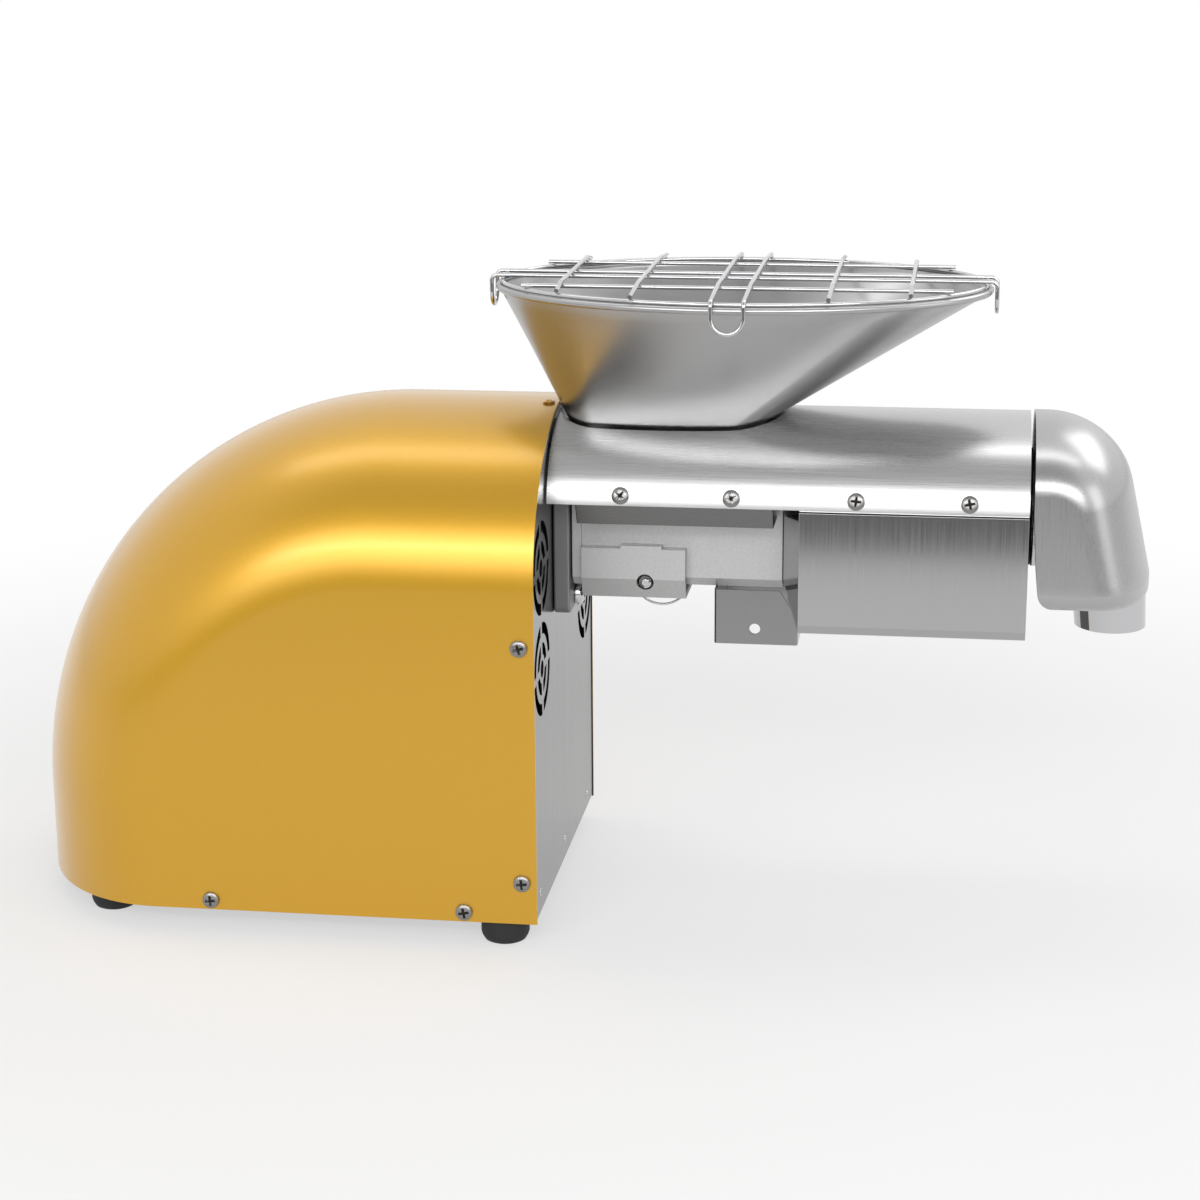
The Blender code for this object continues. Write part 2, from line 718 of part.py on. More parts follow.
def make_housing_screws():
    """Pan heads on the near flank; the shell's thickness and threads are hidden behind them."""
    dome = SCREW_HEAD_HEIGHT / 3
    profile = [(0, SCREW_HEAD_HEIGHT), (SCREW_HEAD_RADIUS - dome * 2, SCREW_HEAD_HEIGHT),
               (SCREW_HEAD_RADIUS - dome / 2, SCREW_HEAD_HEIGHT - dome), (SCREW_HEAD_RADIUS, dome),
               (SCREW_HEAD_RADIUS, 0), (0, 0)]
    places = [(REAR_SCREW_AHEAD - HOUSING_LENGTH, LOW_SCREW_Z), (-MIDDLE_SCREW_BACK, LOW_SCREW_Z)]
    places += [(-FRONT_SCREW_BACK, z) for z in FRONT_SCREW_Z]
    for number, (x, z) in enumerate(places, 1):
        at = (x, -HALF_WIDTH - SEAT_GAP, z)
        finished(turned(f"housing_screw_{number}", profile, COARSE, at, "Y"), STEEL)


# Gear train


def gear_outline(teeth, module, tooth_at):
    """Stub teeth with straight flanks; one tooth points at the angle tooth_at."""
    pitch_radius = teeth * module / 2
    root = pitch_radius - DEDENDUM_SHARE * module
    tip = pitch_radius + ADDENDUM_SHARE * module
    half_pitch = module * math.pi / 4 - BACKLASH_SHARE * module
    half_root = half_pitch + DEDENDUM_SHARE * module * math.tan(PRESSURE_ANGLE)
    half_tip = half_pitch - ADDENDUM_SHARE * module * math.tan(PRESSURE_ANGLE)
    points = []
    for tooth in range(teeth):
        middle = tooth_at + math.tau * tooth / teeth
        corners = ((root, -half_root), (tip, -half_tip), (tip, half_tip), (root, half_root))
        for radius, half in corners:
            turn = middle + half / radius
            points.append((radius * math.cos(turn), radius * math.sin(turn)))
    return points


LID_FRONT = -SHEET - SEAT_GAP
CASE_FRONT = LID_FRONT - LID_THICKNESS - SEAT_GAP
CASE_REAR = CASE_FRONT - CASE_DEPTH - CASE_BACK
UP, DOWN = math.pi / 2, -math.pi / 2
MIDDLE_LARGE_REAR = CASE_FRONT - CASE_DEPTH + GEAR_ROOM
MIDDLE_LARGE_X = (MIDDLE_LARGE_REAR, MIDDLE_LARGE_REAR + MIDDLE_LARGE_WIDTH)
OUTPUT_GEAR_X = (CASE_FRONT - GEAR_ROOM - OUTPUT_GEAR_WIDTH, CASE_FRONT - GEAR_ROOM)


def case_outline(grow):
    """The belt-shaped outline round the output gear above and the two small axes below."""
    high = (0, AXIS_Z)
    high_radius = OUTPUT_MODULE * (OUTPUT_TEETH / 2 + ADDENDUM_SHARE) + GEAR_ROOM + grow
    low_radius = ROTOR_MODULE * (MIDDLE_LARGE_TEETH / 2 + ADDENDUM_SHARE) + GEAR_ROOM + grow
    low = (0, ROTOR_Z + low_radius - grow - ROTOR_MODULE * ROTOR_TEETH - GEAR_ROOM)
    lean = math.degrees(math.asin((high_radius - low_radius) / (high[1] - low[1])))
    return (arc(high, high_radius, -lean, 180 + lean, MEDIUM // 2)
            + arc(low, low_radius, 180 + lean, 360 - lean, COARSE - 2))


def make_gearbox():
    case = plate("gearbox_case", [case_outline(CASE_WALL)], CASE_REAR, CASE_FRONT)
    cut(case, plate("case_hollow", [case_outline(0)], CASE_REAR + CASE_BACK, CASE_FRONT + OVERRUN))
    span = (CASE_REAR - OVERRUN, CASE_REAR + CASE_BACK + OVERRUN)
    for name, z, radius in (("output_journal", AXIS_Z, OUTPUT_SHAFT_RADIUS),
                            ("middle_journal", MIDDLE_Z, PIN_RADIUS),
                            ("rotor_journal", ROTOR_Z, PIN_RADIUS)):
        cut(case, rod(name, radius + RUN_GAP, *span, MEDIUM, (0, 0, z)))
    finished(case, CASE_GREY)

    lid_loops = [case_outline(CASE_WALL), circle((0, AXIS_Z), BEARING_RADIUS + SEAT_GAP, FINE),
                 circle((0, MIDDLE_Z), PIN_RADIUS + RUN_GAP, MEDIUM)]
    finished(plate("gearbox_lid", lid_loops, LID_FRONT - LID_THICKNESS, LID_FRONT), CASE_GREY)
    bearing = tube_ring("output_bearing", BEARING_RADIUS, SHOULDER_RADIUS + RUN_GAP,
                        LID_FRONT - LID_THICKNESS, LID_FRONT, FINE, (0, 0, AXIS_Z))
    finished(bearing, BRONZE)


def make_output_gear():
    loops = [gear_outline(OUTPUT_TEETH, OUTPUT_MODULE, DOWN),
             circle((0, 0), OUTPUT_SHAFT_RADIUS + SEAT_GAP, MEDIUM)]
    gear = plate("output_gear", loops, *OUTPUT_GEAR_X)
    in_frame(gear, screw_axis, (sum(OUTPUT_GEAR_X) / 2, 0, AXIS_Z), "X")
    return finished(gear, STEEL)


def make_middle_gear():
    """The two-step gear between motor and output, with its pin journals."""
    large = plate("middle_gear", [gear_outline(MIDDLE_LARGE_TEETH, ROTOR_MODULE, DOWN)], *MIDDLE_LARGE_X)
    in_frame(large, middle_axis, (sum(MIDDLE_LARGE_X) / 2, 0, MIDDLE_Z), "X")
    tooth_at = UP + math.pi / MIDDLE_SMALL_TEETH
    small_x = (MIDDLE_LARGE_X[1] - BITE, OUTPUT_GEAR_X[1] + GEAR_ROOM / 2)
    small = plate("middle_pinion", [gear_outline(MIDDLE_SMALL_TEETH, OUTPUT_MODULE, tooth_at)], *small_x,
                  side=(0, MIDDLE_Z))
    pin = rod("middle_pin", PIN_RADIUS, CASE_REAR + BITE, LID_FRONT - BITE, MEDIUM, (0, 0, MIDDLE_Z))
    join(large, small, pin)
    return finished(large, STEEL)


MOTOR_FRONT = CASE_REAR - SEAT_GAP
MOTOR_REAR = MOTOR_FRONT - MOTOR_LENGTH
FAN_FRONT = MOTOR_REAR - GEAR_ROOM * 2


def make_rotor():
    pinion_x = (MIDDLE_LARGE_X[0] - BITE, MIDDLE_LARGE_X[1] + BITE)
    tooth_at = UP + math.pi / ROTOR_TEETH
    pinion = plate("rotor_shaft", [gear_outline(ROTOR_TEETH, ROTOR_MODULE, tooth_at)], *pinion_x)
    in_frame(pinion, rotor_axis, (sum(pinion_x) / 2, 0, ROTOR_Z), "X")
    shaft = rod("rotor_rod", PIN_RADIUS, FAN_FRONT - FAN_LENGTH - BITE, pinion_x[0] + BITE, MEDIUM,
                (0, 0, ROTOR_Z))
    join(pinion, shaft)
    return finished(pinion, STEEL)


def make_motor():
    """The motor's case: two end bells and a ribbed middle."""
    front, rear = MOTOR_FRONT, MOTOR_REAR
    low = MOTOR_RADIUS - MOTOR_BELL_STEP
    profile = [(PIN_RADIUS + RUN_GAP, front), (low, front), (MOTOR_RADIUS, front - MOTOR_BELL_STEP),
               (MOTOR_RADIUS, front - MOTOR_BELL)]
    room = MOTOR_LENGTH - 2 * MOTOR_BELL
    pitch = room / MOTOR_FINS
    groove = MOTOR_RADIUS - MOTOR_FIN_DEPTH
    for fin in range(MOTOR_FINS):
        start = front - MOTOR_BELL - pitch * fin
        profile += [(groove, start), (groove, start - pitch / 2), (MOTOR_RADIUS, start - pitch / 2),
                    (MOTOR_RADIUS, start - pitch)]
    profile += [(MOTOR_RADIUS, rear + MOTOR_BELL_STEP), (low, rear), (PIN_RADIUS + RUN_GAP, rear)]
    return finished(turned("motor_body", profile, MEDIUM, (0, 0, ROTOR_Z), ring=True), CASE_GREY)


def make_fan():
    hub = tube_ring("cooling_fan", FAN_HUB_RADIUS, PIN_RADIUS + SEAT_GAP, FAN_FRONT - FAN_LENGTH, FAN_FRONT,
                    MEDIUM, (0, 0, ROTOR_Z))
    in_frame(hub, rotor_axis, (0, 0, ROTOR_Z), "X")
    verts, faces = [], []
    inner, outer = FAN_HUB_RADIUS - BITE, FAN_RADIUS
    for blade in range(FAN_BLADES):
        base = len(verts)
        for radius, lean in ((inner, FAN_ROOT_TWIST_DEG), (outer, FAN_TIP_TWIST_DEG)):
            pitch = math.radians(lean)
            for along, across in ((-1, -1), (-1, 1), (1, 1), (1, -1)):
                length, width = FAN_LENGTH * FAN_DEPTH_SHARE / 2 * along, FAN_BLADE / 2 * across
                x = length * math.cos(pitch) - width * math.sin(pitch)
                side = length * math.sin(pitch) + width * math.cos(pitch)
                turn = math.tau * blade / FAN_BLADES + side / radius
                height = FAN_FRONT - FAN_LENGTH / 2 + x
                verts.append((radius * math.cos(turn), radius * math.sin(turn), height))
        loop = [(0, 1, 5, 4), (1, 2, 6, 5), (2, 3, 7, 6), (3, 0, 4, 7), (3, 2, 1, 0), (4, 5, 6, 7)]
        faces += [[base + corner for corner in face] for face in loop]
    mesh = bpy.data.meshes.new("fan_blades")
    mesh.from_pydata(verts, [], faces)
    shape = bmesh.new()
    shape.from_mesh(mesh)
    bmesh.ops.recalc_face_normals(shape, faces=shape.faces)
    shape.to_mesh(mesh)
    shape.free()
    blades = bpy.data.objects.new("fan_blades", mesh)
    in_frame(blades, rotor_axis, (0, 0, ROTOR_Z), "X")
    join(hub, blades)
    return finished(hub, BLACK)


def make_cradle():
    """Two saddle plates and a foot plate that carry the motor on the tray."""
    floor_z = TRAY_Z + SHEET + SEAT_GAP
    middle = (MOTOR_FRONT + MOTOR_REAR) / 2
    saddle_radius = MOTOR_RADIUS + SEAT_GAP
    reach = CRADLE_WIDTH / 2
    opening = math.degrees(math.acos(reach / saddle_radius)) if reach < saddle_radius else 0
    outline = arc((0, ROTOR_Z), saddle_radius, 180 + opening, 360 - opening, COARSE)
    outline += [(reach, floor_z), (-reach, floor_z)]
    floor = box_outline((middle - CRADLE_SPAN / 2, -reach), (middle + CRADLE_SPAN / 2, reach))
    foot = plate("motor_cradle", [floor], floor_z, floor_z + CRADLE_PLATE, "Z")
    for name, side in (("front_saddle", 1), ("rear_saddle", -1)):
        x = middle + side * (CRADLE_SPAN / 2 - CRADLE_FLANGE)
        join(foot, plate(name, [outline], x - CRADLE_PLATE / 2, x + CRADLE_PLATE / 2))
    return finished(foot, CASE_GREY)


def make_capacitor():
    floor_z = TRAY_Z + SHEET + SEAT_GAP
    stud = CAPACITOR_RADIUS / 4
    rear, front = MOTOR_REAR + CAPACITOR_LENGTH, MOTOR_REAR + CAPACITOR_LENGTH * 2
    profile = [(0, front + stud), (stud, front + stud), (stud, front), (CAPACITOR_RADIUS, front),
               (CAPACITOR_RADIUS, rear), (0, rear)]
    at = (0, HALF_WIDTH - CAPACITOR_INSET, floor_z + CAPACITOR_RADIUS)
    return finished(turned("run_capacitor", profile, MEDIUM, at), BLACK)


# Press head


def make_flange():
    outline = rounded((0, (FLANGE_LOW_Z + FLANGE_TOP_Z) / 2),
                      (FLANGE_HALF, (FLANGE_TOP_Z - FLANGE_LOW_Z) / 2), FLANGE_CORNER)
    loops = [outline, circle((0, AXIS_Z), SHOULDER_RADIUS + RUN_GAP, MEDIUM)]
    finished(plate("mounting_flange", loops, SEAT_GAP, SEAT_GAP + FLANGE_THICKNESS), CAST)
    face = SEAT_GAP * 2 + FLANGE_THICKNESS
    top = face + BOLT_HEAD
    profile = [(0, top), (BOLT_RADIUS / 2, top), (BOLT_RADIUS, face + BOLT_HEAD / 2), (BOLT_RADIUS, face),
               (0, face)]
    for side, sign in (("near", -1), ("far", 1)):
        at = (0, sign * FLANGE_BOLT_Y, FLANGE_LOW_Z + FLANGE_BOLT_INSET)
        finished(turned(f"flange_bolt_{side}", profile, COARSE, at), STEEL)


def tucked_section(half, low, high, tuck, rise):
    """A block's section whose flanks slant inwards at the bottom."""
    return [(-half, high), (-half, low + rise), (-half + tuck, low),
            (half - tuck, low), (half, low + rise), (half, high)]


def make_arm():
    """The cast arm: feed chamber, barrel seat, oil window below and hopper throat above."""
    start = FLANGE_THICKNESS + 2 * SEAT_GAP
    section = tucked_section(ARM_HALF, ARM_LOW_Z, ARM_TOP_Z, ARM_CHAMFER, ARM_CHAMFER)
    arm = plate("arm_casting", [section], start, ARM_END_X)
    wide = tucked_section(COLLAR_HALF, ARM_LOW_Z - RUN_GAP, ARM_TOP_Z - RUN_GAP, ARM_CHAMFER, ARM_CHAMFER)
    collar = plate("arm_collar", [wide], start + RUN_GAP, COLLAR_X)
    under = box_outline((-SADDLE_HALF, ARM_LOW_Z - SADDLE_DROP), (SADDLE_HALF, ARM_LOW_Z + BITE))
    saddle = plate("arm_saddle", [under], CLAMP_X[0], CLAMP_X[1] - CLAMP_RELIEF)
    join(arm, collar, saddle)
    bore = [(0, ARM_END_X + OVERRUN), (BARREL_RADIUS + SEAT_GAP, ARM_END_X + OVERRUN),
            (BARREL_RADIUS + SEAT_GAP, BARREL_X - SEAT_GAP), (BORE_RADIUS, BARREL_X - SEAT_GAP),
            (BORE_RADIUS, 0), (0, 0)]
    throat = rounded((NECK_RECT_X, 0), THROAT_HALF, THROAT_CORNER)
    window = box_outline((OIL_WINDOW_X[0], -OIL_WINDOW_HALF), (OIL_WINDOW_X[1], OIL_WINDOW_HALF))
    cut(arm, turned("arm_bore", bore, FINE, (0, 0, AXIS_Z)),
        plate("arm_throat", [throat], AXIS_Z, ARM_TOP_Z + OVERRUN, "Z"),
        plate("oil_window", [window], ARM_LOW_Z - OVERRUN, AXIS_Z, "Z"),
        rod("lock_bore", LOCK_RADIUS + RUN_GAP, -CLAMP_HALF, CLAMP_HALF, MEDIUM, (PIN_X, 0, LOCK_Z), "Y"))
    return finished(arm, CAST)


def make_clamp():
    """The channel that hugs the arm from below, with the lock pin's holes in its cheeks."""
    inner = ARM_HALF + SEAT_GAP
    floor = ARM_LOW_Z - SADDLE_DROP - SEAT_GAP
    outline = tucked_section(CLAMP_HALF, CLAMP_LOW_Z, CLAMP_TOP_Z, CLAMP_TUCK, CLAMP_TUCK_RISE)
    outline += [(inner, CLAMP_TOP_Z), (inner, floor), (-inner, floor), (-inner, CLAMP_TOP_Z)]
    clamp = plate("clamp_block", [outline], *CLAMP_X)
    low, high = CLAMP_TOP_Z - BITE, CLAMP_TOP_Z + CLAMP_STEP
    for side, (left, right) in (("near", (-CLAMP_HALF, -inner)), ("far", (inner, CLAMP_HALF))):
        join(clamp, plate(f"clamp_step_{side}", [box_outline((left, low), (right, high))], *CLAMP_STEP_X))
    cut(clamp, rod("clamp_lock_hole", LOCK_HOLE, -CLAMP_HALF - OVERRUN, CLAMP_HALF + OVERRUN, MEDIUM,
                   (PIN_X, 0, LOCK_Z), "Y"))
    return finished(clamp, CAST)


def make_lock_pin():
    """The quick pin, pushed in from the control side, with a ring through the stub behind its head."""
    head, tip = -LOCK_FAR_Y, CLAMP_HALF
    rear = head - LOCK_HEAD - LOCK_STUB
    face = head - LOCK_HEAD
    profile = [(0, tip), (LOCK_RADIUS / 2, tip), (LOCK_RADIUS, tip - LOCK_RADIUS / 2), (LOCK_RADIUS, head),
               (LOCK_HEAD_RADIUS, head), (LOCK_HEAD_RADIUS, face), (LOCK_STUB_RADIUS, face),
               (LOCK_STUB_RADIUS, rear), (0, rear)]
    pin = turned("locking_pin", profile, MEDIUM, (PIN_X, 0, LOCK_Z), "Y")
    in_frame(pin, lock_slide, (PIN_X, 0, LOCK_Z), "Y")
    eye = rod("ring_eye", RING_EYE, -LOCK_HEAD_RADIUS, LOCK_HEAD_RADIUS, COARSE, (PIN_X, RING_Y, LOCK_Z), "X")
    cut(pin, eye)
    finished(pin, STEEL)
    low = LOCK_Z - RING_RADIUS
    points = [(PIN_X + across, RING_Y, up) for across, up in circle((0, low), RING_RADIUS, FINE)]
    finished(wire("pull_ring", points, RING_WIRE, ring_pivot, closed=True), STEEL)


def make_barrel():
    """The pressing barrel with its slotted zone above the oil window."""
    end = NUT_X[1] + BARREL_PAST_NUT
    barrel = tube_ring("press_barrel", BARREL_RADIUS, BORE_RADIUS, BARREL_X, end, FINE, (0, 0, AXIS_Z))
    depth = BARREL_RADIUS + OVERRUN
    section = box_outline((-depth, -SLOT_WIDTH / 2), (depth, SLOT_WIDTH / 2))
    for slot in range(SLOT_COUNT // 2):
        blade = plate(f"slot_{slot}", [section], *SLOT_X, side=(0, AXIS_Z))
        lean = math.pi * (slot + 1 / 2) / (SLOT_COUNT // 2)
        blade.rotation_euler = (FACING["X"][0] + lean, 0, FACING["X"][2])
        cut(barrel, blade)
    return finished(barrel, STEEL)


def make_heater_band():
    outer = BARREL_RADIUS + SEAT_GAP + HEATER_WALL
    band = tube_ring("heater_band", outer, BARREL_RADIUS + SEAT_GAP, *HEATER_X, FINE, (0, 0, AXIS_Z))
    lug = box_outline((-HEATER_LUG / 2, outer - HEATER_WALL / 2), (HEATER_LUG / 2, outer + HEATER_LUG))
    low, high = HEATER_X[0] + HEATER_LUG, HEATER_X[1] - HEATER_LUG
    join(band, plate("heater_lug", [lug], low, high, side=(0, AXIS_Z)))
    return finished(band, BRUSHED)


def make_barrel_end():
    """Insulating ring and nut on the barrel's end."""
    finished(tube_ring("insulating_ring", END_RING_RADIUS, BARREL_RADIUS + SEAT_GAP, *END_RING_X, FINE,
                       (0, 0, AXIS_Z)), BLACK)
    loops = [circle((0, 0), NUT_RADIUS, NUT_SIDES), circle((0, 0), BARREL_RADIUS + SEAT_GAP, FINE)]
    finished(plate("barrel_nut", loops, *NUT_X, side=(0, AXIS_Z)), POLISHED)


def make_press_screw():
    """The shaft through bearing and gear, and the screw whose root swells towards the outlet."""
    rear = CASE_REAR + BITE
    gear_rear = OUTPUT_GEAR_X[1] + SEAT_GAP
    start, end = SCREW_X
    low, high = SCREW_ROOT
    profile = [(0, end + SCREW_NOSE), (high / 2, end + SCREW_NOSE), (high, end), (low, start),
               (SHOULDER_RADIUS, start - BITE), (SHOULDER_RADIUS, gear_rear),
               (OUTPUT_SHAFT_RADIUS, gear_rear), (OUTPUT_SHAFT_RADIUS, rear), (0, rear)]
    screw = turned("press_screw", profile, MEDIUM, (0, 0, AXIS_Z))
    in_frame(screw, screw_axis, (0, 0, AXIS_Z), "X")
    first, last = start + SCREW_THREAD[0], end - SCREW_THREAD[0]
    turns = (last - first) / SCREW_PITCH
    count = math.ceil(turns * SCREW_STEPS)
    rows = []
    for step in range(count + 1):
        share = step / count
        x, turn = first + (last - first) * share, math.tau * turns * share
        root = low + (high - low) * share - BITE
        row = []
        for radius, half in ((root, -SCREW_THREAD[0]), (SCREW_TIP_RADIUS, -SCREW_THREAD[1]),
                             (SCREW_TIP_RADIUS, SCREW_THREAD[1]), (root, SCREW_THREAD[0])):
            row.append((x + half / 2, radius * math.cos(turn), AXIS_Z + radius * math.sin(turn)))
        rows.append(row)
    ends = [[(0, column) for column in range(4)], [(count, column) for column in range(4)]]
    join(screw, skin("screw_thread", rows, ends, closed=True))
    return finished(screw, STEEL)


# Covers of the press head


def arch_section():
    """The barrel cover's outer line: straight legs and an elliptic arch."""
    spring_z = COVER_LOW_Z + COVER_STRAIGHT
    rise = COVER_TOP_Z - spring_z
    points = [(-COVER_HALF, COVER_LOW_Z)]
    for turn in crown_turns():
        points.append((COVER_HALF * math.sin(turn), spring_z + rise * math.cos(turn)))
    return points + [(COVER_HALF, COVER_LOW_Z)]


def make_barrel_cover():
    section = arch_section()
    cover = skin("barrel_cover", [[(x, y, z) for y, z in section] for x in COVER_X])
    turn_faces(cover, (sum(COVER_X) / 2, 0, HOUSING_TOP * 2))
    thicken(cover, THIN_SHEET)
    cut(cover, hopper_plug("hopper_opening", THIN_SHEET + RUN_GAP))
    return finished(cover, BRUSHED)


def make_rails():
    """Bent strips between the arm and the cover's lower edges, which take the cover's screws."""
    outer = COVER_HALF - THIN_SHEET - SEAT_GAP
    section = [(outer, RAIL_TOP_Z), (outer, COVER_LOW_Z), (outer - RAIL_SLOPE, RAIL_LOW_Z),
               (ARM_HALF + SEAT_GAP, RAIL_LOW_Z)]
    for side, sign in (("near", -1), ("far", 1)):
        rows = [[(x, sign * y, z) for y, z in section] for x in RAIL_X]
        rail = skin(f"cover_rail_{side}", rows)
        turn_faces(rail, (sum(RAIL_X) / 2, sign * COVER_HALF * 2, COVER_LOW_Z))
        thicken(rail, THIN_SHEET)
        finished(rail, BRUSHED)


def heater_section(half, lip_half, low, chamfer):
    """Half outline doubled: lip inside the barrel cover, joggle, flank, chamfer and floor."""
    right = [(lip_half, HEATER_LIP_TOP_Z), (lip_half, HEATER_COVER_TOP_Z), (half, HEATER_COVER_TOP_Z),
             (half, low + chamfer), (half - chamfer, low)]
    return right + [(-y, z) for y, z in reversed(right)]


def make_heater_cover():
    lip = COVER_HALF - THIN_SHEET - SEAT_GAP - RUN_GAP
    step = COVER_HALF - lip
    wide = heater_section(COVER_HALF, lip, HEATER_COVER_LOW_Z, HEATER_COVER_CHAMFER)
    neck = heater_section(HEATER_NECK_HALF, HEATER_NECK_HALF - step, HEATER_NECK_Z, HEATER_COVER_CHAMFER)
    rows = [[(x, y, z) for y, z in section]
            for x, section in ((HEATER_COVER_X[0], neck), (HEATER_COVER_X[1], wide), (COVER_X[1], wide))]
    cover = skin("heater_cover", rows)
    turn_faces(cover, (sum(COVER_X) / 2, 0, -HOUSING_TOP))
    thicken(cover, THIN_SHEET)
    return finished(cover, BRUSHED)


def make_chute():
    """The open sheet duct that leads the oil down, cut slanting where the heater cover narrows."""
    low, high = (CHUTE_X[0], -CHUTE_HALF), (CHUTE_X[1], CHUTE_HALF)
    inner = [box_outline([side + THIN_SHEET for side in low], [side - THIN_SHEET for side in high])]
    chute = plate("oil_chute", [box_outline(low, high)] + inner, CHUTE_LOW_Z, ARM_LOW_Z - SEAT_GAP, "Z")
    slope_low = (HEATER_COVER_X[1], HEATER_COVER_LOW_Z - CHUTE_CUT_Z)
    slope_high = (HEATER_COVER_X[0] - CHUTE_CUT_Z, ARM_LOW_Z)
    top = slope_high[1] + OVERRUN
    corner = [slope_low, (slope_low[0], top), (slope_high[0], top), slope_high]
    cut(chute, plate("chute_corner", [corner], -CHUTE_HALF - OVERRUN, CHUTE_HALF + OVERRUN, "Y"),
        rod("chute_hole", CHUTE_HOLE_RADIUS, -CHUTE_HALF - OVERRUN, CHUTE_HALF + OVERRUN, MEDIUM,
            (CHUTE_HOLE[0], 0, CHUTE_HOLE[1]), "Y"))
    return finished(chute, BRUSHED)


# Hopper and grille


def loft_pairs(grow):
    """Matching points of the rim's oval and the neck's rounded rectangle, all the way round."""
    rim = [half + grow for half in RIM_HALF]
    half = [side + grow for side in NECK_RECT_HALF]
    corner = NECK_CORNER + grow
    pairs = []
    for quarter, (side, rise) in enumerate(((1, 1), (-1, 1), (-1, -1), (1, -1))):
        middle = (NECK_RECT_X + side * (half[0] - corner), rise * (half[1] - corner))
        opens_long = quarter % 2 == 0
        first = SHORT_FLAT_DEG if opens_long else LONG_FLAT_DEG
        last = 90 - (LONG_FLAT_DEG if opens_long else SHORT_FLAT_DEG)
        neck_arc = arc(middle, corner, quarter * 90, quarter * 90 + 90, CORNER_STEPS)
        for step, point in enumerate(neck_arc):
            turn = quarter * 90 + first + (last - first) * step / CORNER_STEPS
            pairs.append((turn, point))
        steps = LONG_STEPS if opens_long else SHORT_STEPS
        reach = LONG_FLAT_DEG if opens_long else SHORT_FLAT_DEG
        here = neck_arc[-1]
        other = ((-here[0] + 2 * NECK_RECT_X, here[1]) if opens_long else (here[0], -here[1]))
        for step in range(1, steps):
            share = step / steps
            turn = quarter * 90 + 90 - reach + 2 * reach * share
            point = (here[0] + (other[0] - here[0]) * share, here[1] + (other[1] - here[1]) * share)
            pairs.append((turn, point))
    turns = [math.radians(turn) for turn, _ in pairs]
    oval = [(RIM_X + rim[0] * math.cos(turn), rim[1] * math.sin(turn)) for turn in turns]
    return oval, [point for _, point in pairs]


def loft_row(oval, neck, share, z):
    return [(n[0] + (o[0] - n[0]) * share, n[1] + (o[1] - n[1]) * share, z) for o, n in zip(oval, neck)]


def hopper_plug(name, grow):
    """A solid of the hopper's outside, grown all round, that opens the barrel cover."""
    oval, neck = loft_pairs(grow)
    rows = []
    for share in (0, 1):
        rows.append(loft_row(oval, neck, share, HOPPER_LOW_Z - SEAT_GAP + HOPPER_HEIGHT * share))
    count = len(oval)
    ends = [[(row, column) for column in range(count)] for row in (0, 1)]
    return skin(name, rows, ends, closed=True)


def make_hopper():
    """The sheet funnel: rolled rim, walls from oval to rounded rectangle, shoulder and neck."""
    rows = []
    for turn in BEAD_TURNS:
        out, up = math.cos(math.radians(turn)), math.sin(math.radians(turn))
        oval, _ = loft_pairs(BEAD_RADIUS * out)
        rows.append([(x, y, RIM_Z + BEAD_RADIUS * up) for x, y in oval])
    oval, neck = loft_pairs(-THIN_SHEET)
    floor = HOPPER_LOW_Z + THIN_SHEET
    for share in WALL_SHARES:
        rows.append(loft_row(oval, neck, share, floor + (RIM_Z - floor) * share))
    throat = throat_ring(SEAT_GAP + THIN_SHEET)
    rows.append([(x, y, floor) for x, y in throat])
    rows.append([(x, y, HOPPER_LOW_Z - THROAT_DEPTH) for x, y in throat])
    funnel = skin("hopper", rows, closed=True)
    turn_faces(funnel, (NECK_RECT_X, 0, RIM_Z))
    thicken(funnel, THIN_SHEET)
    in_frame(funnel, hopper_slide, (0, 0, 0))
    return finished(funnel, BRUSHED)


def throat_ring(inset):
    """The neck's outline with one point for each point of the walls."""
    half = [side - inset for side in THROAT_HALF]
    corner = THROAT_CORNER - inset
    points = []
    for quarter, (side, rise) in enumerate(((1, 1), (-1, 1), (-1, -1), (1, -1))):
        middle = (NECK_RECT_X + side * (half[0] - corner), rise * (half[1] - corner))
        ring = arc(middle, corner, quarter * 90, quarter * 90 + 90, CORNER_STEPS)
        points += ring
        opens_long = quarter % 2 == 0
        steps = LONG_STEPS if opens_long else SHORT_STEPS
        here = ring[-1]
        other = ((-here[0] + 2 * NECK_RECT_X, here[1]) if opens_long else (here[0], -here[1]))
        for step in range(1, steps):
            share = step / steps
            points.append((here[0] + (other[0] - here[0]) * share, here[1] + (other[1] - here[1]) * share))
    return points


GRILLE_RING_Z = RIM_Z + math.sqrt((BEAD_RADIUS + WIRE_RADIUS + SEAT_GAP) ** 2 - RING_INSET ** 2)
LEVEL = WIRE_RADIUS * 2 + SEAT_GAP
LOWER_Z = GRILLE_RING_Z + LEVEL
UPPER_Z = LOWER_Z + LEVEL
RING_HALF = [half - RING_INSET for half in RIM_HALF]


def ring_reach(offset, along):
    """How far the grille's ring lies from its middle, at an offset across."""
    across = RING_HALF[1 - along]
    return RING_HALF[along] * math.sqrt(1 - (offset / across) ** 2)


def along_x(reach, offset, z):
    return (RIM_X + reach, offset, z)


def along_y(reach, offset, z):
    return (RIM_X + offset, reach, z)


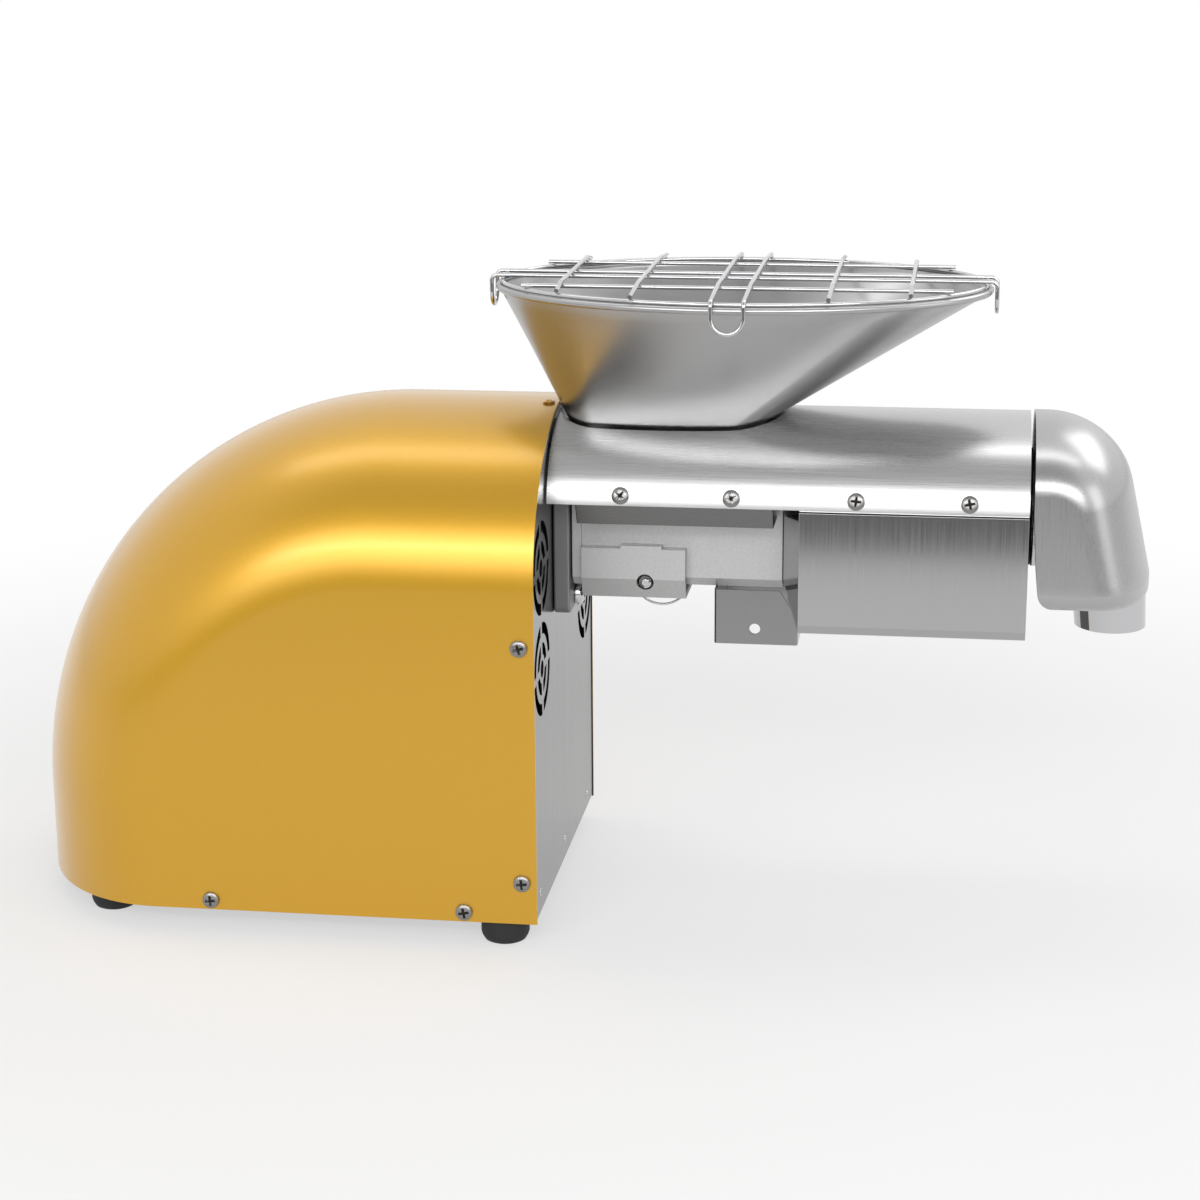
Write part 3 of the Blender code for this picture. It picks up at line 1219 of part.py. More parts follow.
def hairpin(name, place, edge, crest, others):
    """Two parallel wires that run over the rim and close in a hanging loop at each end."""
    points = []
    for sign in (1, -1):
        past = others + LEVEL * 2
        side = [(-past, crest), (past, crest), (edge - HAIRPIN_BEND * 2, LOWER_Z)]
        side += arc((edge - HAIRPIN_BEND, LOWER_Z - HAIRPIN_BEND), HAIRPIN_BEND, 90, 0, BEND_STEPS)
        half = [place(sign * reach, sign * HAIRPIN_HALF, z) for reach, z in side]
        bow_z = LOWER_Z - HAIRPIN_DROP + HAIRPIN_HALF
        bow = [place(sign * edge, sign * across, z)
               for across, z in arc((0, bow_z), HAIRPIN_HALF, 0, -180, BOW_STEPS)]
        back = [place(sign * reach, -sign * HAIRPIN_HALF, z) for reach, z in reversed(side[2:])]
        points += half + bow + back
    return wire(name, points, WIRE_RADIUS, grille_slide, closed=True)


def make_grille():
    """Ring on the rolled rim, wires along it, wires across those, and two hairpins with grip loops."""
    ring = [(RIM_X + RING_HALF[0] * math.cos(t), RING_HALF[1] * math.sin(t), GRILLE_RING_Z)
            for t in [math.tau * step / RING_STEPS for step in range(RING_STEPS)]]
    finished(wire("grille_ring", ring, WIRE_RADIUS, grille_slide, closed=True), POLISHED)
    edge = BEAD_RADIUS + WIRE_RADIUS + RUN_GAP
    pins = (("grille_loop_long", along_x, RIM_HALF[0] + edge, LOWER_Z, ring_reach(0, 0) / 2),
            ("grille_loop_cross", along_y, RIM_HALF[1] + edge, UPPER_Z, LONG_WIRE_Y))
    for name, place, reach, crest, others in pins:
        finished(hairpin(name, place, reach, crest, others), POLISHED)
    for side, y in (("near", -LONG_WIRE_Y), ("far", LONG_WIRE_Y)):
        reach = ring_reach(y, 0) + WIRE_PAST_RING
        points = [along_x(share * reach, y, LOWER_Z) for share in (-1, 1)]
        finished(wire(f"grille_wire_{side}", points, WIRE_RADIUS, grille_slide), POLISHED)
    for number, x in enumerate(CROSS_WIRES, 1):
        reach = ring_reach(x, 1)
        crest = LONG_WIRE_Y + LEVEL
        stops = ((-reach - WIRE_PAST_RING, LOWER_Z), (-reach, LOWER_Z), (-crest, UPPER_Z),
                 (crest, UPPER_Z), (reach, LOWER_Z), (reach + WIRE_PAST_RING, LOWER_Z))
        points = [along_y(y, x, z) for y, z in stops]
        finished(wire(f"grille_cross_{number}", points, WIRE_RADIUS, grille_slide), POLISHED)


# Discharge elbow


def elbow_profile(inset):
    """The mid-plane line over the hood's flat, shoulder and leaning nose, with the way inwards."""
    top, flat_x = ELBOW_TOP_Z - inset, ELBOW_X + ELBOW_FLAT
    width, rise = [half - inset for half in ELBOW_SHOULDER]
    shoulder_z, toe_z = ELBOW_TOP_Z - ELBOW_SHOULDER[1], ELBOW_LOW_Z + ELBOW_FOOT_RADIUS
    profile = [(ELBOW_X + inset, top, 0, -1)]
    steps = COARSE - 3
    for step in range(steps + 1):
        turn = math.pi / 2 * step / steps
        inward = Vector((-math.sin(turn) / width, -math.cos(turn) / rise)).normalized()
        profile.append((flat_x + width * math.sin(turn), shoulder_z + rise * math.cos(turn), *inward))
    start = profile[-1]
    for step in range(1, ELBOW_NOSE_STEPS):
        share = step / ELBOW_NOSE_STEPS
        x = start[0] + (ELBOW_NOSE_X - inset - start[0]) * share
        profile.append((x, start[1] + (toe_z - start[1]) * share, -1, 0))
    return profile


def elbow_solid(name, inset):
    """The hood as a closed form: crowned top and nose, leaning back, and a round edge below."""
    slope = math.tan(math.radians(ELBOW_LEAN_DEG))
    left, right = ELBOW_X + inset, ELBOW_NOSE_X - inset
    low = ELBOW_LOW_Z + inset
    half, crown = COVER_HALF - inset, ELBOW_CROWN - inset
    foot, toe = ELBOW_FOOT_RADIUS - inset, ELBOW_TOE_RADIUS - inset
    rows = []
    for x, z, inward_x, inward_z in elbow_profile(inset):
        row = []
        for turn in crown_turns():
            dip = crown * (1 - math.cos(turn))
            row.append((x + inward_x * dip, half * math.sin(turn), z + inward_z * dip))
        back_z = row[0][2]
        back_x = left + slope * max(0, COVER_LOW_Z - back_z)
        rows.append(row + [(back_x, half, back_z), (back_x, -half, back_z)])
    for turn in (0, 30, 60, 90):
        rounding = 1 - math.cos(math.radians(turn))
        tuck, nose_tuck = foot * rounding, toe * rounding
        z = low + foot - foot * math.sin(math.radians(turn))
        row = []
        for around in crown_turns():
            dip = (crown - nose_tuck) * (1 - math.cos(around))
            row.append((right - nose_tuck - dip, (half - tuck) * math.sin(around), z))
        back_x = left + slope * (COVER_LOW_Z - z) + tuck
        rows.append(row + [(back_x, half - tuck, z), (back_x, -half + tuck, z)])
    arch = [(0, column) for column in range(CROWN_STEPS + 1)]
    floor = [(len(rows) - 1, column) for column in range(CROWN_STEPS + 3)]
    return skin(name, rows, [arch, floor], closed=True)


def lean(piece):
    """Tilts the outlet and its hole about the point where the outlet leaves the hood."""
    piece.location = Vector((OUTLET_X, 0, ELBOW_LOW_Z)) - Vector(piece.parent["at"])
    piece.rotation_euler = (0, -math.radians(ELBOW_LEAN_DEG), 0)


def make_elbow():
    """The hood that turns the pressed cake down, open round the barrel nut and over the outlet."""
    hood = elbow_solid("discharge_elbow", 0)
    in_frame(hood, elbow_slide, (0, 0, 0))
    mouth = rod("elbow_mouth", NUT_RADIUS + SEAT_GAP * 2, ELBOW_X - OVERRUN, ELBOW_X + OVERRUN * 2, FINE,
                (0, 0, AXIS_Z))
    drain = rod("elbow_drain", OUTLET_RADIUS + SEAT_GAP, -OVERRUN * 2, OUTLET_RISE, FINE,
                (OUTLET_X, 0, 0), "Z")
    cut(hood, elbow_solid("elbow_hollow", ELBOW_WALL), mouth, drain)
    finished(hood, BRUSHED)
    bore = OUTLET_RADIUS - OUTLET_WALL
    spout = tube_ring("outlet_tube", OUTLET_RADIUS, bore, -OUTLET_DROP, OUTLET_RISE, FINE,
                      (OUTLET_X, 0, 0), "Z")
    in_frame(spout, elbow_slide, (OUTLET_X, 0, ELBOW_LOW_Z), "Z")
    finished(spout, POLISHED)
    for piece in (drain, spout):
        lean(piece)


# Control side

BOARD_Y = HALF_WIDTH - BOARD_INSET
PLATE_Y = HALF_WIDTH + SEAT_GAP
CONTROL_FACE = PLATE_Y + CONTROL_PLATE
CONTROLS_OUT = HALF_WIDTH + SEAT_GAP + SCREW_HEAD_HEIGHT


def rocker_places():
    z = CONTROL_Z - ROCKER_DOWN
    sides = (("power_rocker", -ROCKER_SPREAD), ("direction_rocker", ROCKER_SPREAD))
    return [(name, CONTROL_X + side, z) for name, side in sides]


def button_places():
    z = CONTROL_Z + BUTTON_UP
    sides = (("heat_down_button", -BUTTON_SPREAD), ("heat_up_button", BUTTON_SPREAD))
    return [(name, CONTROL_X + side, z) for name, side in sides]


def make_control_plate():
    loops = [rounded((CONTROL_X, CONTROL_Z), CONTROL_HALF, CONTROL_CORNER)]
    for _, x, z in rocker_places():
        low = (x - ROCKER_HALF[0] - SEAT_GAP, z - ROCKER_HALF[1] - RUN_GAP * 2)
        high = (x + ROCKER_HALF[0] + SEAT_GAP, z + ROCKER_HALF[1] + RUN_GAP * 2)
        loops.append(box_outline(low, high))
    for _, x, z in button_places():
        loops.append(circle((x, z), BUTTON_RADIUS + SEAT_GAP, MEDIUM))
    finished(plate("control_plate", loops, PLATE_Y, CONTROL_FACE, "Y"), BLACK)
    glass = rounded((CONTROL_X, CONTROL_Z + WINDOW_UP), WINDOW_HALF, CONTROL_CORNER / 4, 2)
    back = CONTROL_FACE + SEAT_GAP
    finished(plate("display_window", [glass], back, back + CONTROL_PLATE, "Y"), WINDOW)


def make_rockers():
    """Rockers with a V-shaped face; the power rocker rests on its off side, the other in the middle."""
    half_x, half_z = ROCKER_HALF
    pivot_y = CONTROL_FACE - ROCKER_DEPTH / 2
    face = CONTROLS_OUT - pivot_y - half_z * math.tan(math.radians(ROCKER_TILT_DEG))
    back = ROCKER_DEPTH / 2
    foot = half_z - back / 2
    outline = [(-half_z, 0), (-foot, -back), (foot, -back), (half_z, 0),
               (half_z, face - SEAT_GAP), (0, face - BUTTON_TRAVEL), (-half_z, face - SEAT_GAP)]
    for (name, x, z), rest in zip(rocker_places(), (math.radians(ROCKER_TILT_DEG), 0)):
        tilted = [(up * math.cos(rest) - out * math.sin(rest), up * math.sin(rest) + out * math.cos(rest))
                  for up, out in outline]
        rocker = plate(name, [tilted], -half_x, half_x)
        pivot = empty(name + "_pivot", (x, pivot_y, z), press_frame)
        in_frame(rocker, pivot, (x, pivot_y, z))
        rocker.rotation_euler = (0, -math.pi / 2, 0)
        finished(rocker, RED if name == "power_rocker" else BLACK)


def make_buttons():
    for name, x, z in button_places():
        slide = empty(name + "_slide", (x, CONTROL_FACE, z), press_frame)
        board_face = BOARD_Y + BOARD
        back = -(board_face + BUTTON_TRAVEL + SEAT_GAP)
        radius = BUTTON_RADIUS - SEAT_GAP
        profile = [(0, back), (radius, back), (radius, -CONTROLS_OUT), (0, -CONTROLS_OUT)]
        button = turned(name, profile, MEDIUM, (x, 0, z), "Y")
        in_frame(button, slide, (x, 0, z), "Y")
        finished(button, BLACK)


def make_control_board():
    """The circuit board behind the plate, on pillars that reach the shell."""
    low, high = control_cutout()
    margin = ROCKER_HALF[0]
    outline = box_outline((low[0] - margin * 2, low[1] - margin), (high[0] + margin * 2, high[1] + margin))
    board = plate("control_board", [outline], BOARD_Y, BOARD_Y + BOARD, "Y")
    pillars = []
    ends = (SHEET + SEAT_GAP - HALF_WIDTH, -BOARD_Y - BOARD / 2)
    for number, (x, z) in enumerate(box_outline(low, high)):
        at = (x + math.copysign(margin, x - CONTROL_X), 0, z)
        pillars.append(rod(f"pillar_{number}", margin / 2, *ends, COARSE, at, "Y"))
    join(board, *pillars)
    return finished(board, BOARD_GREEN)


def make_power_inlet():
    """The appliance inlet with its socket; no lead is plugged in."""
    flange = rounded((INLET_X, INLET_Z), INLET_FLANGE_HALF, CONTROL_CORNER / 2)
    inlet = plate("power_inlet", [flange], PLATE_Y, CONTROLS_OUT, "Y")
    body = rounded((INLET_X, INLET_Z), INLET_BODY_HALF, CONTROL_CORNER / 2)
    join(inlet, plate("inlet_body", [body], CONTROLS_OUT - INLET_DEPTH, CONTROLS_OUT - BITE, "Y"))
    socket = rounded((INLET_X, INLET_Z), INLET_SOCKET_HALF, CONTROL_CORNER / 2)
    floor = CONTROLS_OUT - INLET_SOCKET_DEPTH
    cut(inlet, plate("inlet_socket", [socket], floor, CONTROLS_OUT + OVERRUN, "Y"))
    return finished(inlet, BLACK)


make_housing_cover()
make_front_panel()
make_base_tray()
make_feet()
make_housing_screws()
make_gearbox()
make_output_gear()
make_middle_gear()
make_rotor()
make_motor()
make_fan()
make_cradle()
make_capacitor()
make_flange()
make_arm()
make_clamp()
make_lock_pin()
make_barrel()
make_heater_band()
make_barrel_end()
make_press_screw()
make_barrel_cover()
make_rails()
make_heater_cover()
make_chute()
make_hopper()
make_grille()
make_elbow()
make_control_plate()
make_rockers()
make_buttons()
make_control_board()
make_power_inlet()
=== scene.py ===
# %% [markdown]
# # A screw oil press
#
# This lesson dresses the finished model of a kitchen oil press. A gold sheet housing holds the motor
# and the gears, and in front of it a steel press head squeezes the seeds that drop from the hopper.
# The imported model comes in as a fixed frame. Every piece made here goes where the frame says.

# %% Load the frame
import json
import math
import random
from math import cos, radians, sin, sqrt

import bmesh
import bpy
from mathutils import Matrix, Vector


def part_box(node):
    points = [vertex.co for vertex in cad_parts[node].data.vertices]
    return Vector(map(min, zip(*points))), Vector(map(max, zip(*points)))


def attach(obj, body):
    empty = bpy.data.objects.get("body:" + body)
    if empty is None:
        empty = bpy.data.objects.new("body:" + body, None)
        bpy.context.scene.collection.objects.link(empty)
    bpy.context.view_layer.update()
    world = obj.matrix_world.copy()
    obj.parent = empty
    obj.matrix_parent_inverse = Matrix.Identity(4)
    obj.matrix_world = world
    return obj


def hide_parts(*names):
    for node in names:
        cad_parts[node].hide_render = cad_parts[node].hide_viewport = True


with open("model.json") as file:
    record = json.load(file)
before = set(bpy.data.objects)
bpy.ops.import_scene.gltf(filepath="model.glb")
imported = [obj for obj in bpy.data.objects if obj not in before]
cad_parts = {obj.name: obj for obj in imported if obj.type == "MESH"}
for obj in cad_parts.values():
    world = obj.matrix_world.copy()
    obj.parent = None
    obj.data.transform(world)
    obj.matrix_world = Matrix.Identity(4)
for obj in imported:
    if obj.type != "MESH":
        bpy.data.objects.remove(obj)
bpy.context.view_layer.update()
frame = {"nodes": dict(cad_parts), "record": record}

# %% [markdown]
# All lengths are metres. The front panel's outer face is a handy place to measure from, because the
# housing lies behind it and the press head in front of it. `at_x` turns such a distance into the
# frame's own x, and `link` puts a mesh, a curve, a lamp or a camera into the scene.

# %% Sizes and helpers that several pieces share
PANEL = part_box("front_panel")[1][0]
SHAFT_Z = 0.2160
SHEET, THIN = 0.0015, 0.0012
HALF_WIDTH = 0.1000
QUARTERS = ((1, 1), (-1, 1), (-1, -1), (1, -1))


def at_x(distance):
    return PANEL + distance


def middle_of(low, high):
    return [(first + last) / 2 for first, last in zip(low, high)]


def link(name, data):
    piece = bpy.data.objects.new(name, data)
    bpy.context.scene.collection.objects.link(piece)
    return piece


# %% [markdown]
# The camera looks down a little at the press from its near flank and from the outlet's end. Its place
# and its long lens were worked out from the parallel edges of the housing and the press head.

# %% Camera
def aim_camera(place, yaw, pitch, roll, lens):
    """Angles are in radians, and yaw is the turn away from looking square at the near flank."""
    camera = link("camera", bpy.data.cameras.new("camera"))
    forward = Vector((-sin(yaw) * cos(pitch), cos(yaw) * cos(pitch), -sin(pitch)))
    level = Vector((cos(yaw), sin(yaw), 0))
    above = level.cross(forward)
    right = level * cos(roll) + above * sin(roll)
    up = above * cos(roll) - level * sin(roll)
    turn = Matrix((right, up, -forward)).transposed().to_4x4()
    camera.matrix_world = Matrix.Translation(place) @ turn
    camera.data.sensor_width = 36
    camera.data.lens = lens
    bpy.context.scene.camera = camera
    return camera


camera = aim_camera((at_x(0.2128), -1.3328, 0.5256), yaw=0.1441, pitch=0.2659, roll=-0.0064, lens=78.99)
print("camera at", [round(side, 3) for side in camera.location])

# %% [markdown]
# Shaders, the world and the Geometry Nodes trees are all made of linked nodes. Two helpers keep that
# short: one adds nodes by name, and the other reads the links between them.

# %% Helpers for nodes
def add_nodes(tree, family, table):
    """Adds named nodes; a setting is an input if the node has one of that name, or else a property."""
    for name, entry in table.items():
        kind, settings = (entry, {}) if isinstance(entry, str) else entry
        node = tree.nodes.new(family + "Node" + kind)
        node.name = name
        for key, value in settings.items():
            if isinstance(key, int) or key in node.inputs:
                node.inputs[key].default_value = value
            else:
                setattr(node, key, value)


def in_use(sockets, key):
    """A socket by its number, or by its name among the sockets in use."""
    if key.isdigit():
        return sockets[int(key)]
    return next(socket for socket in sockets if socket.name == key and socket.enabled)


def link_up(tree, *lines):
    """Links named nodes; a line reads node.output > node.input."""
    for line in lines:
        (source, output), (target, entry) = (end.strip().split(".") for end in line.split(">"))
        tree.links.new(in_use(tree.nodes[source].outputs, output), in_use(tree.nodes[target].inputs, entry))


def fade(low, high, **more):
    """A node that goes smoothly from 0 to 1 while its value goes from low to high."""
    return "MapRange", {"interpolation_type": "SMOOTHSTEP", "From Min": low, "From Max": high, **more}


LARGER = "Math", {"operation": "MAXIMUM"}
TIMES = "Math", {"operation": "MULTIPLY"}

# %% [markdown]
# Metal shows what surrounds it, so the surroundings matter as much as the finish. The press stands on
# a pale floor in a white studio. The floor is lit like anything else near the press, so it keeps a soft
# shadow, and fades to plain white further out, so that no horizon shows. It ends a little in front of
# the press: upright steel shows that edge as a soft change of tone.

# %% Pale floor
FLOOR_FRONT, FLOOR_BACK, FLOOR_SIDE = -0.865, 5.0, 4.0
NEAR_WHITE = 0.55
FADE = (0.30, 0.95)


def floor_material():
    """Fades to white only where the eye, a mirror or glass sees it, not where it sends light back."""
    surface = bpy.data.materials.new("pale_floor")
    surface.use_nodes = True
    tree = surface.node_tree
    shader = tree.nodes["Principled BSDF"]
    shader.inputs["Base Color"].default_value = (0.86, 0.86, 0.86, 1)
    shader.inputs["Roughness"].default_value = 0.9
    add_nodes(tree, "Shader", {
        "ray": "LightPath", "either": LARGER, "seen": LARGER,
        "place": "TexCoord", "distance": ("VectorMath", {"operation": "LENGTH"}),
        "spread": fade(*FADE, **{"To Min": NEAR_WHITE, "To Max": 1}),
        "share": TIMES, "white": ("Emission", {"Strength": 1}), "mix": "MixShader"})
    link_up(tree, "ray.Is Camera Ray > either.0", "ray.Is Glossy Ray > either.1", "either.0 > seen.0",
            "ray.Is Transmission Ray > seen.1", "place.Object > distance.0",
            "distance.Value > spread.Value", "seen.0 > share.0", "spread.Result > share.1",
            "share.0 > mix.0", "Principled BSDF.0 > mix.1", "white.0 > mix.2",
            "mix.0 > Material Output.Surface")
    return surface


sheet = bpy.data.meshes.new("floor")
sheet.from_pydata([(-FLOOR_SIDE, FLOOR_FRONT, 0), (FLOOR_SIDE, FLOOR_FRONT, 0),
                   (FLOOR_SIDE, FLOOR_BACK, 0), (-FLOOR_SIDE, FLOOR_BACK, 0)], [], [(0, 1, 2, 3)])
sheet.materials.append(floor_material())
floor = link("floor", sheet)
print("floor from y", FLOOR_FRONT, "to", FLOOR_BACK)

# %% [markdown]
# The world is white to the eye. Metal sees a white room too, but with a dim ceiling over the front and
# a dim ground beyond the floor's edge. A photographer flags a studio like this on purpose: without the
# dark patches, bright steel on white has no shape.

# %% White studio around the press
CEILING_WAY = (0.0, -0.60, 0.80)
CEILING_FADE = (0.66, 0.93)
HORIZON_FADE = (-0.03, 0.0)
CEILING_GREY, GROUND_GREY, LIT_GREY = 0.55, 0.22, 0.42

world = bpy.data.worlds.new("studio")
bpy.context.scene.world = world
world.use_nodes = True
world.node_tree.nodes["Background"].inputs["Color"].default_value = (1, 1, 1, 1)
add_nodes(world.node_tree, "Shader", {
    "way": "TexCoord", "height": "SeparateXYZ",
    "ceiling": ("VectorMath", {"operation": "DOT_PRODUCT", 1: CEILING_WAY}),
    "overhead": fade(*CEILING_FADE), "above": fade(*HORIZON_FADE),
    "room": ("Mix", {"A": 1.0, "B": CEILING_GREY}),
    "mirrored": ("Mix", {"A": GROUND_GREY}), "lit": ("Mix", {"A": LIT_GREY}),
    "ray": "LightPath", "through": LARGER, "seen": ("Mix", {"B": 1.0})})
link_up(world.node_tree, "way.Generated > ceiling.0", "way.Generated > height.0",
        "ceiling.Value > overhead.Value", "overhead.Result > room.Factor", "height.Z > above.Value",
        "above.Result > mirrored.Factor", "room.Result > mirrored.B", "ray.Is Glossy Ray > lit.Factor",
        "mirrored.Result > lit.B", "ray.Is Camera Ray > through.0", "ray.Is Transmission Ray > through.1",
        "through.0 > seen.Factor", "lit.Result > seen.A", "seen.Result > Background.Strength")
print("world of", len(world.node_tree.nodes), "nodes")

# %% [markdown]
# Soft boxes: a long one over the camera with a brighter strip in it, whose reflection runs along every
# edge that leans back, one overhead, a weak one at the outlet's end and one beyond it that lights the
# hood's shoulder.

# %% Soft boxes
# Each row is a lamp's place, the point it faces, its width and height, and its power.
SOFT_BOXES = {
    "front_box": ((0.1, -1.9, 1.0), (0.0, 0, 0.2), (3.0, 1.10), 21),
    "front_strip": ((0.1, -1.86, 1.05), (0.0, 0, 0.2), (3.0, 0.14), 10),
    "top_box": ((0.0, 0.26, 1.9), (0, 0, 0.1), (2.6, 0.36), 6),
    "outlet_box": ((1.9, -0.5, 0.7), (0.1, 0, 0.2), (0.8, 1.1), 3),
    "far_box": ((1.3, 1.2, 1.5), (0.25, 0, 0.25), (1.3, 0.9), 7)}
for name, (place, target, size, power) in SOFT_BOXES.items():
    lamp = bpy.data.lights.new(name, "AREA")
    lamp.shape = "RECTANGLE"
    lamp.size, lamp.size_y = size
    lamp.energy = power
    holder = link(name, lamp)
    holder.location = place
    holder.rotation_euler = (Vector(target) - Vector(place)).to_track_quat("-Z", "Y").to_euler()
bpy.context.scene.view_settings.view_transform = "Standard"
print(len(SOFT_BOXES), "soft boxes")

# %% [markdown]
# A finish is one Principled shader with a texture or two. `Finish` adds a texture, links it to
# roughness, colour or bump, and leaves every plain number on the shader itself.

# %% A small helper for finishes
class Finish:
    def __init__(self, name, colour, metallic, roughness, **more):
        self.material = bpy.data.materials.new(name)
        self.material.use_nodes = True
        self.tree = self.material.node_tree
        self.shader = self.tree.nodes["Principled BSDF"]
        self.join = self.tree.links.new
        settings = {"Base Color": (*colour, 1), "Metallic": metallic, "Roughness": roughness, **more}
        for socket, value in settings.items():
            self.shader.inputs[socket.replace("_", " ")].default_value = value

    def add(self, kind, **inputs):
        node = self.tree.nodes.new("ShaderNode" + kind)
        for socket, value in inputs.items():
            node.inputs[socket.replace("_", " ")].default_value = value
        return node

    def noise(self, scale, stretch=(1, 1, 1), detail=4.0):
        """Noise on the piece's own place, drawn out along an axis where stretch is small."""
        place, mapping = self.add("TexCoord"), self.add("Mapping", Scale=stretch)
        texture = self.add("TexNoise", Scale=scale, Detail=detail)
        self.join(place.outputs["Object"], mapping.inputs["Vector"])
        self.join(mapping.outputs["Vector"], texture.inputs["Vector"])
        return texture.outputs["Fac"]

    def sheen(self, texture, low, high):
        """Lets a texture move the roughness between low and high."""
        spread = self.add("MapRange", From_Min=0.3, From_Max=0.7, To_Min=low, To_Max=high)
        self.join(texture, spread.inputs["Value"])
        self.join(spread.outputs["Result"], self.shader.inputs["Roughness"])

    def tint(self, texture, first, second):
        """Lets a texture move the colour between two tones."""
        mix = self.add("Mix")
        mix.data_type = "RGBA"
        in_use(mix.inputs, "A").default_value = (*first, 1)
        in_use(mix.inputs, "B").default_value = (*second, 1)
        self.join(texture, in_use(mix.inputs, "Factor"))
        self.join(in_use(mix.outputs, "Result"), self.shader.inputs["Base Color"])

    def relief(self, texture, strength, distance):
        """Gives the surface small bumps that follow a texture."""
        bump = self.add("Bump", Strength=strength, Distance=distance)
        self.join(texture, bump.inputs["Height"])
        self.join(bump.outputs["Normal"], self.shader.inputs["Normal"])


def broken_sheen(name, colour, metallic, roughness, scale, low, high, **more):
    """A finish whose roughness follows a fine noise."""
    finish = Finish(name, colour, metallic, roughness, **more)
    finish.sheen(finish.noise(scale), low, high)
    return finish


# %% [markdown]
# The housing is steel sheet under a satin metallic gold paint. Fine flakes scatter the highlight, so
# the paint gets a fine grain in its roughness and a faint orange-peel bump under a thin clear coat.

# %% Gold paint
gold = Finish("gold_paint", (0.62, 0.33, 0.006), 0.72, 0.36, Coat_Weight=1.0, Coat_Roughness=0.22)
flakes = gold.noise(1500, detail=2)
gold.sheen(flakes, 0.32, 0.41)
gold.tint(gold.noise(900, detail=3), (0.59, 0.315, 0.004), (0.65, 0.350, 0.008))
gold.relief(flakes, 0.05, 0.0001)

# %% [markdown]
# Brushed sheet carries fine parallel scratches. A noise squeezed across the grain and drawn out along
# it gives them, and the same noise moves roughness and bump together, so that each scratch glints.

# %% Brushed steel by grain and by tone; the panel's and the rails' copies carry painted shade
def brushed_steel(name, stretch, low=0.24, high=0.34, tone=0.56, depth=0.06):
    steel = Finish(name, (tone, tone, tone * 1.005), 1.0, 0.3)
    grain = steel.noise(1, stretch, 5)
    steel.sheen(grain, low, high)
    steel.tint(grain, (tone * (1 - depth),) * 3, (tone * (1 + depth),) * 3)
    steel.relief(grain, depth, 0.00003)
    return steel


along_grain = brushed_steel("brushed_along", (22, 3200, 3200))
upright_grain = brushed_steel("brushed_upright", (3200, 3200, 22), 0.08, 0.14, 0.42)
duct_steel = brushed_steel("duct_steel", (3200, 3200, 22), 0.16, 0.24, 0.29)
# The panel's and the rails' copies are darkened as painted shade, for the darker reflections these faces
# show.
panel_steel = brushed_steel("panel_steel", (3200, 3200, 14), 0.16, 0.24, 0.18)
rail_steel = brushed_steel("rail_steel", (22, 3200, 3200), 0.24, 0.34, 0.19)
hopper_steel = brushed_steel("hopper_steel", (60, 60, 1900), 0.28, 0.33, 0.43, 0.02)
hood_steel = brushed_steel("hood_steel", (3400, 3400, 60), 0.26, 0.32, 0.44, 0.03)

# %% [markdown]
# The smaller metal finishes: bright wire, blasted castings, machined steel and the dark castings that
# stay inside. Blasting leaves a fine even grain, so the casting's noise is small and the same all ways.

# %% Bright, blasted and machined metal
bright = broken_sheen("bright_wire", (0.58, 0.58, 0.59), 1.0, 0.14, 700, 0.10, 0.2)
chrome = broken_sheen("polished_tube", (0.54, 0.54, 0.55), 1.0, 0.1, 400, 0.04, 0.08)
blasted = Finish("blasted_casting", (0.53, 0.53, 0.53), 0.9, 0.5)
grit = blasted.noise(2600, detail=3)
blasted.sheen(grit, 0.42, 0.58)
blasted.tint(blasted.noise(1300), (0.42, 0.42, 0.42), (0.62, 0.62, 0.62))
blasted.relief(grit, 0.35, 0.0001)
plain_casting = Finish("flange_casting", (0.24, 0.24, 0.24), 0.9, 0.5)
plain_grit = plain_casting.noise(1900, detail=3)
plain_casting.sheen(plain_grit, 0.42, 0.56)
plain_casting.relief(plain_grit, 0.2, 0.0001)
machined = broken_sheen("machined_steel", (0.6, 0.6, 0.61), 1.0, 0.25, 900, 0.18, 0.34)
plated = broken_sheen("plated_screw", (0.27, 0.265, 0.26), 1.0, 0.3, 1400, 0.24, 0.38)
dark_casting = Finish("grey_casting", (0.16, 0.16, 0.165), 0.5, 0.55)
dark_casting.relief(dark_casting.noise(1400), 0.4, 0.0001)
bronze = broken_sheen("bearing_bronze", (0.55, 0.36, 0.15), 1.0, 0.35, 600, 0.28, 0.42)

# %% [markdown]
# Rubber, plastics, the board and the smoked window. Black parts are never quite black: a little grey
# and a soft broken sheen keep their shape readable.

# %% Rubber, plastics, board and window
rubber = Finish("black_rubber", (0.016, 0.016, 0.016), 0.0, 0.75)
rubber.relief(rubber.noise(1800), 0.3, 0.0001)
black_plastic = Finish("black_plastic", (0.018, 0.018, 0.02), 0.0, 0.42)
black_plastic.relief(black_plastic.noise(2400, detail=2), 0.25, 0.00008)
red_plastic = broken_sheen("red_plastic", (0.42, 0.012, 0.012), 0.0, 0.3, 800, 0.26, 0.36)
board_green = Finish("circuit_board", (0.02, 0.12, 0.04), 0.0, 0.4)
board_green.tint(board_green.noise(260), (0.015, 0.10, 0.03), (0.03, 0.17, 0.06))
smoked = broken_sheen("smoked_window", (0.01, 0.01, 0.013), 0.0, 0.08, 300, 0.05, 0.12, Coat_Weight=0.5)
white_mark = broken_sheen("moulded_mark", (0.70, 0.70, 0.68), 0.0, 0.5, 900, 0.42, 0.58)
# Near-black painted shade for the gold shell's inner faces, so that the vents and the front lip look dark
# inside.
shell_inside_painted_shade = broken_sheen("unpainted_inside", (0.035, 0.035, 0.037), 0.4, 0.6, 300, 0.5, 0.7)
# Near-black painted shade for the screw recesses; the insulating ring takes this finish too.
shadow_black = Finish("inside_dark", (0.01, 0.01, 0.01), 0.0, 0.9)

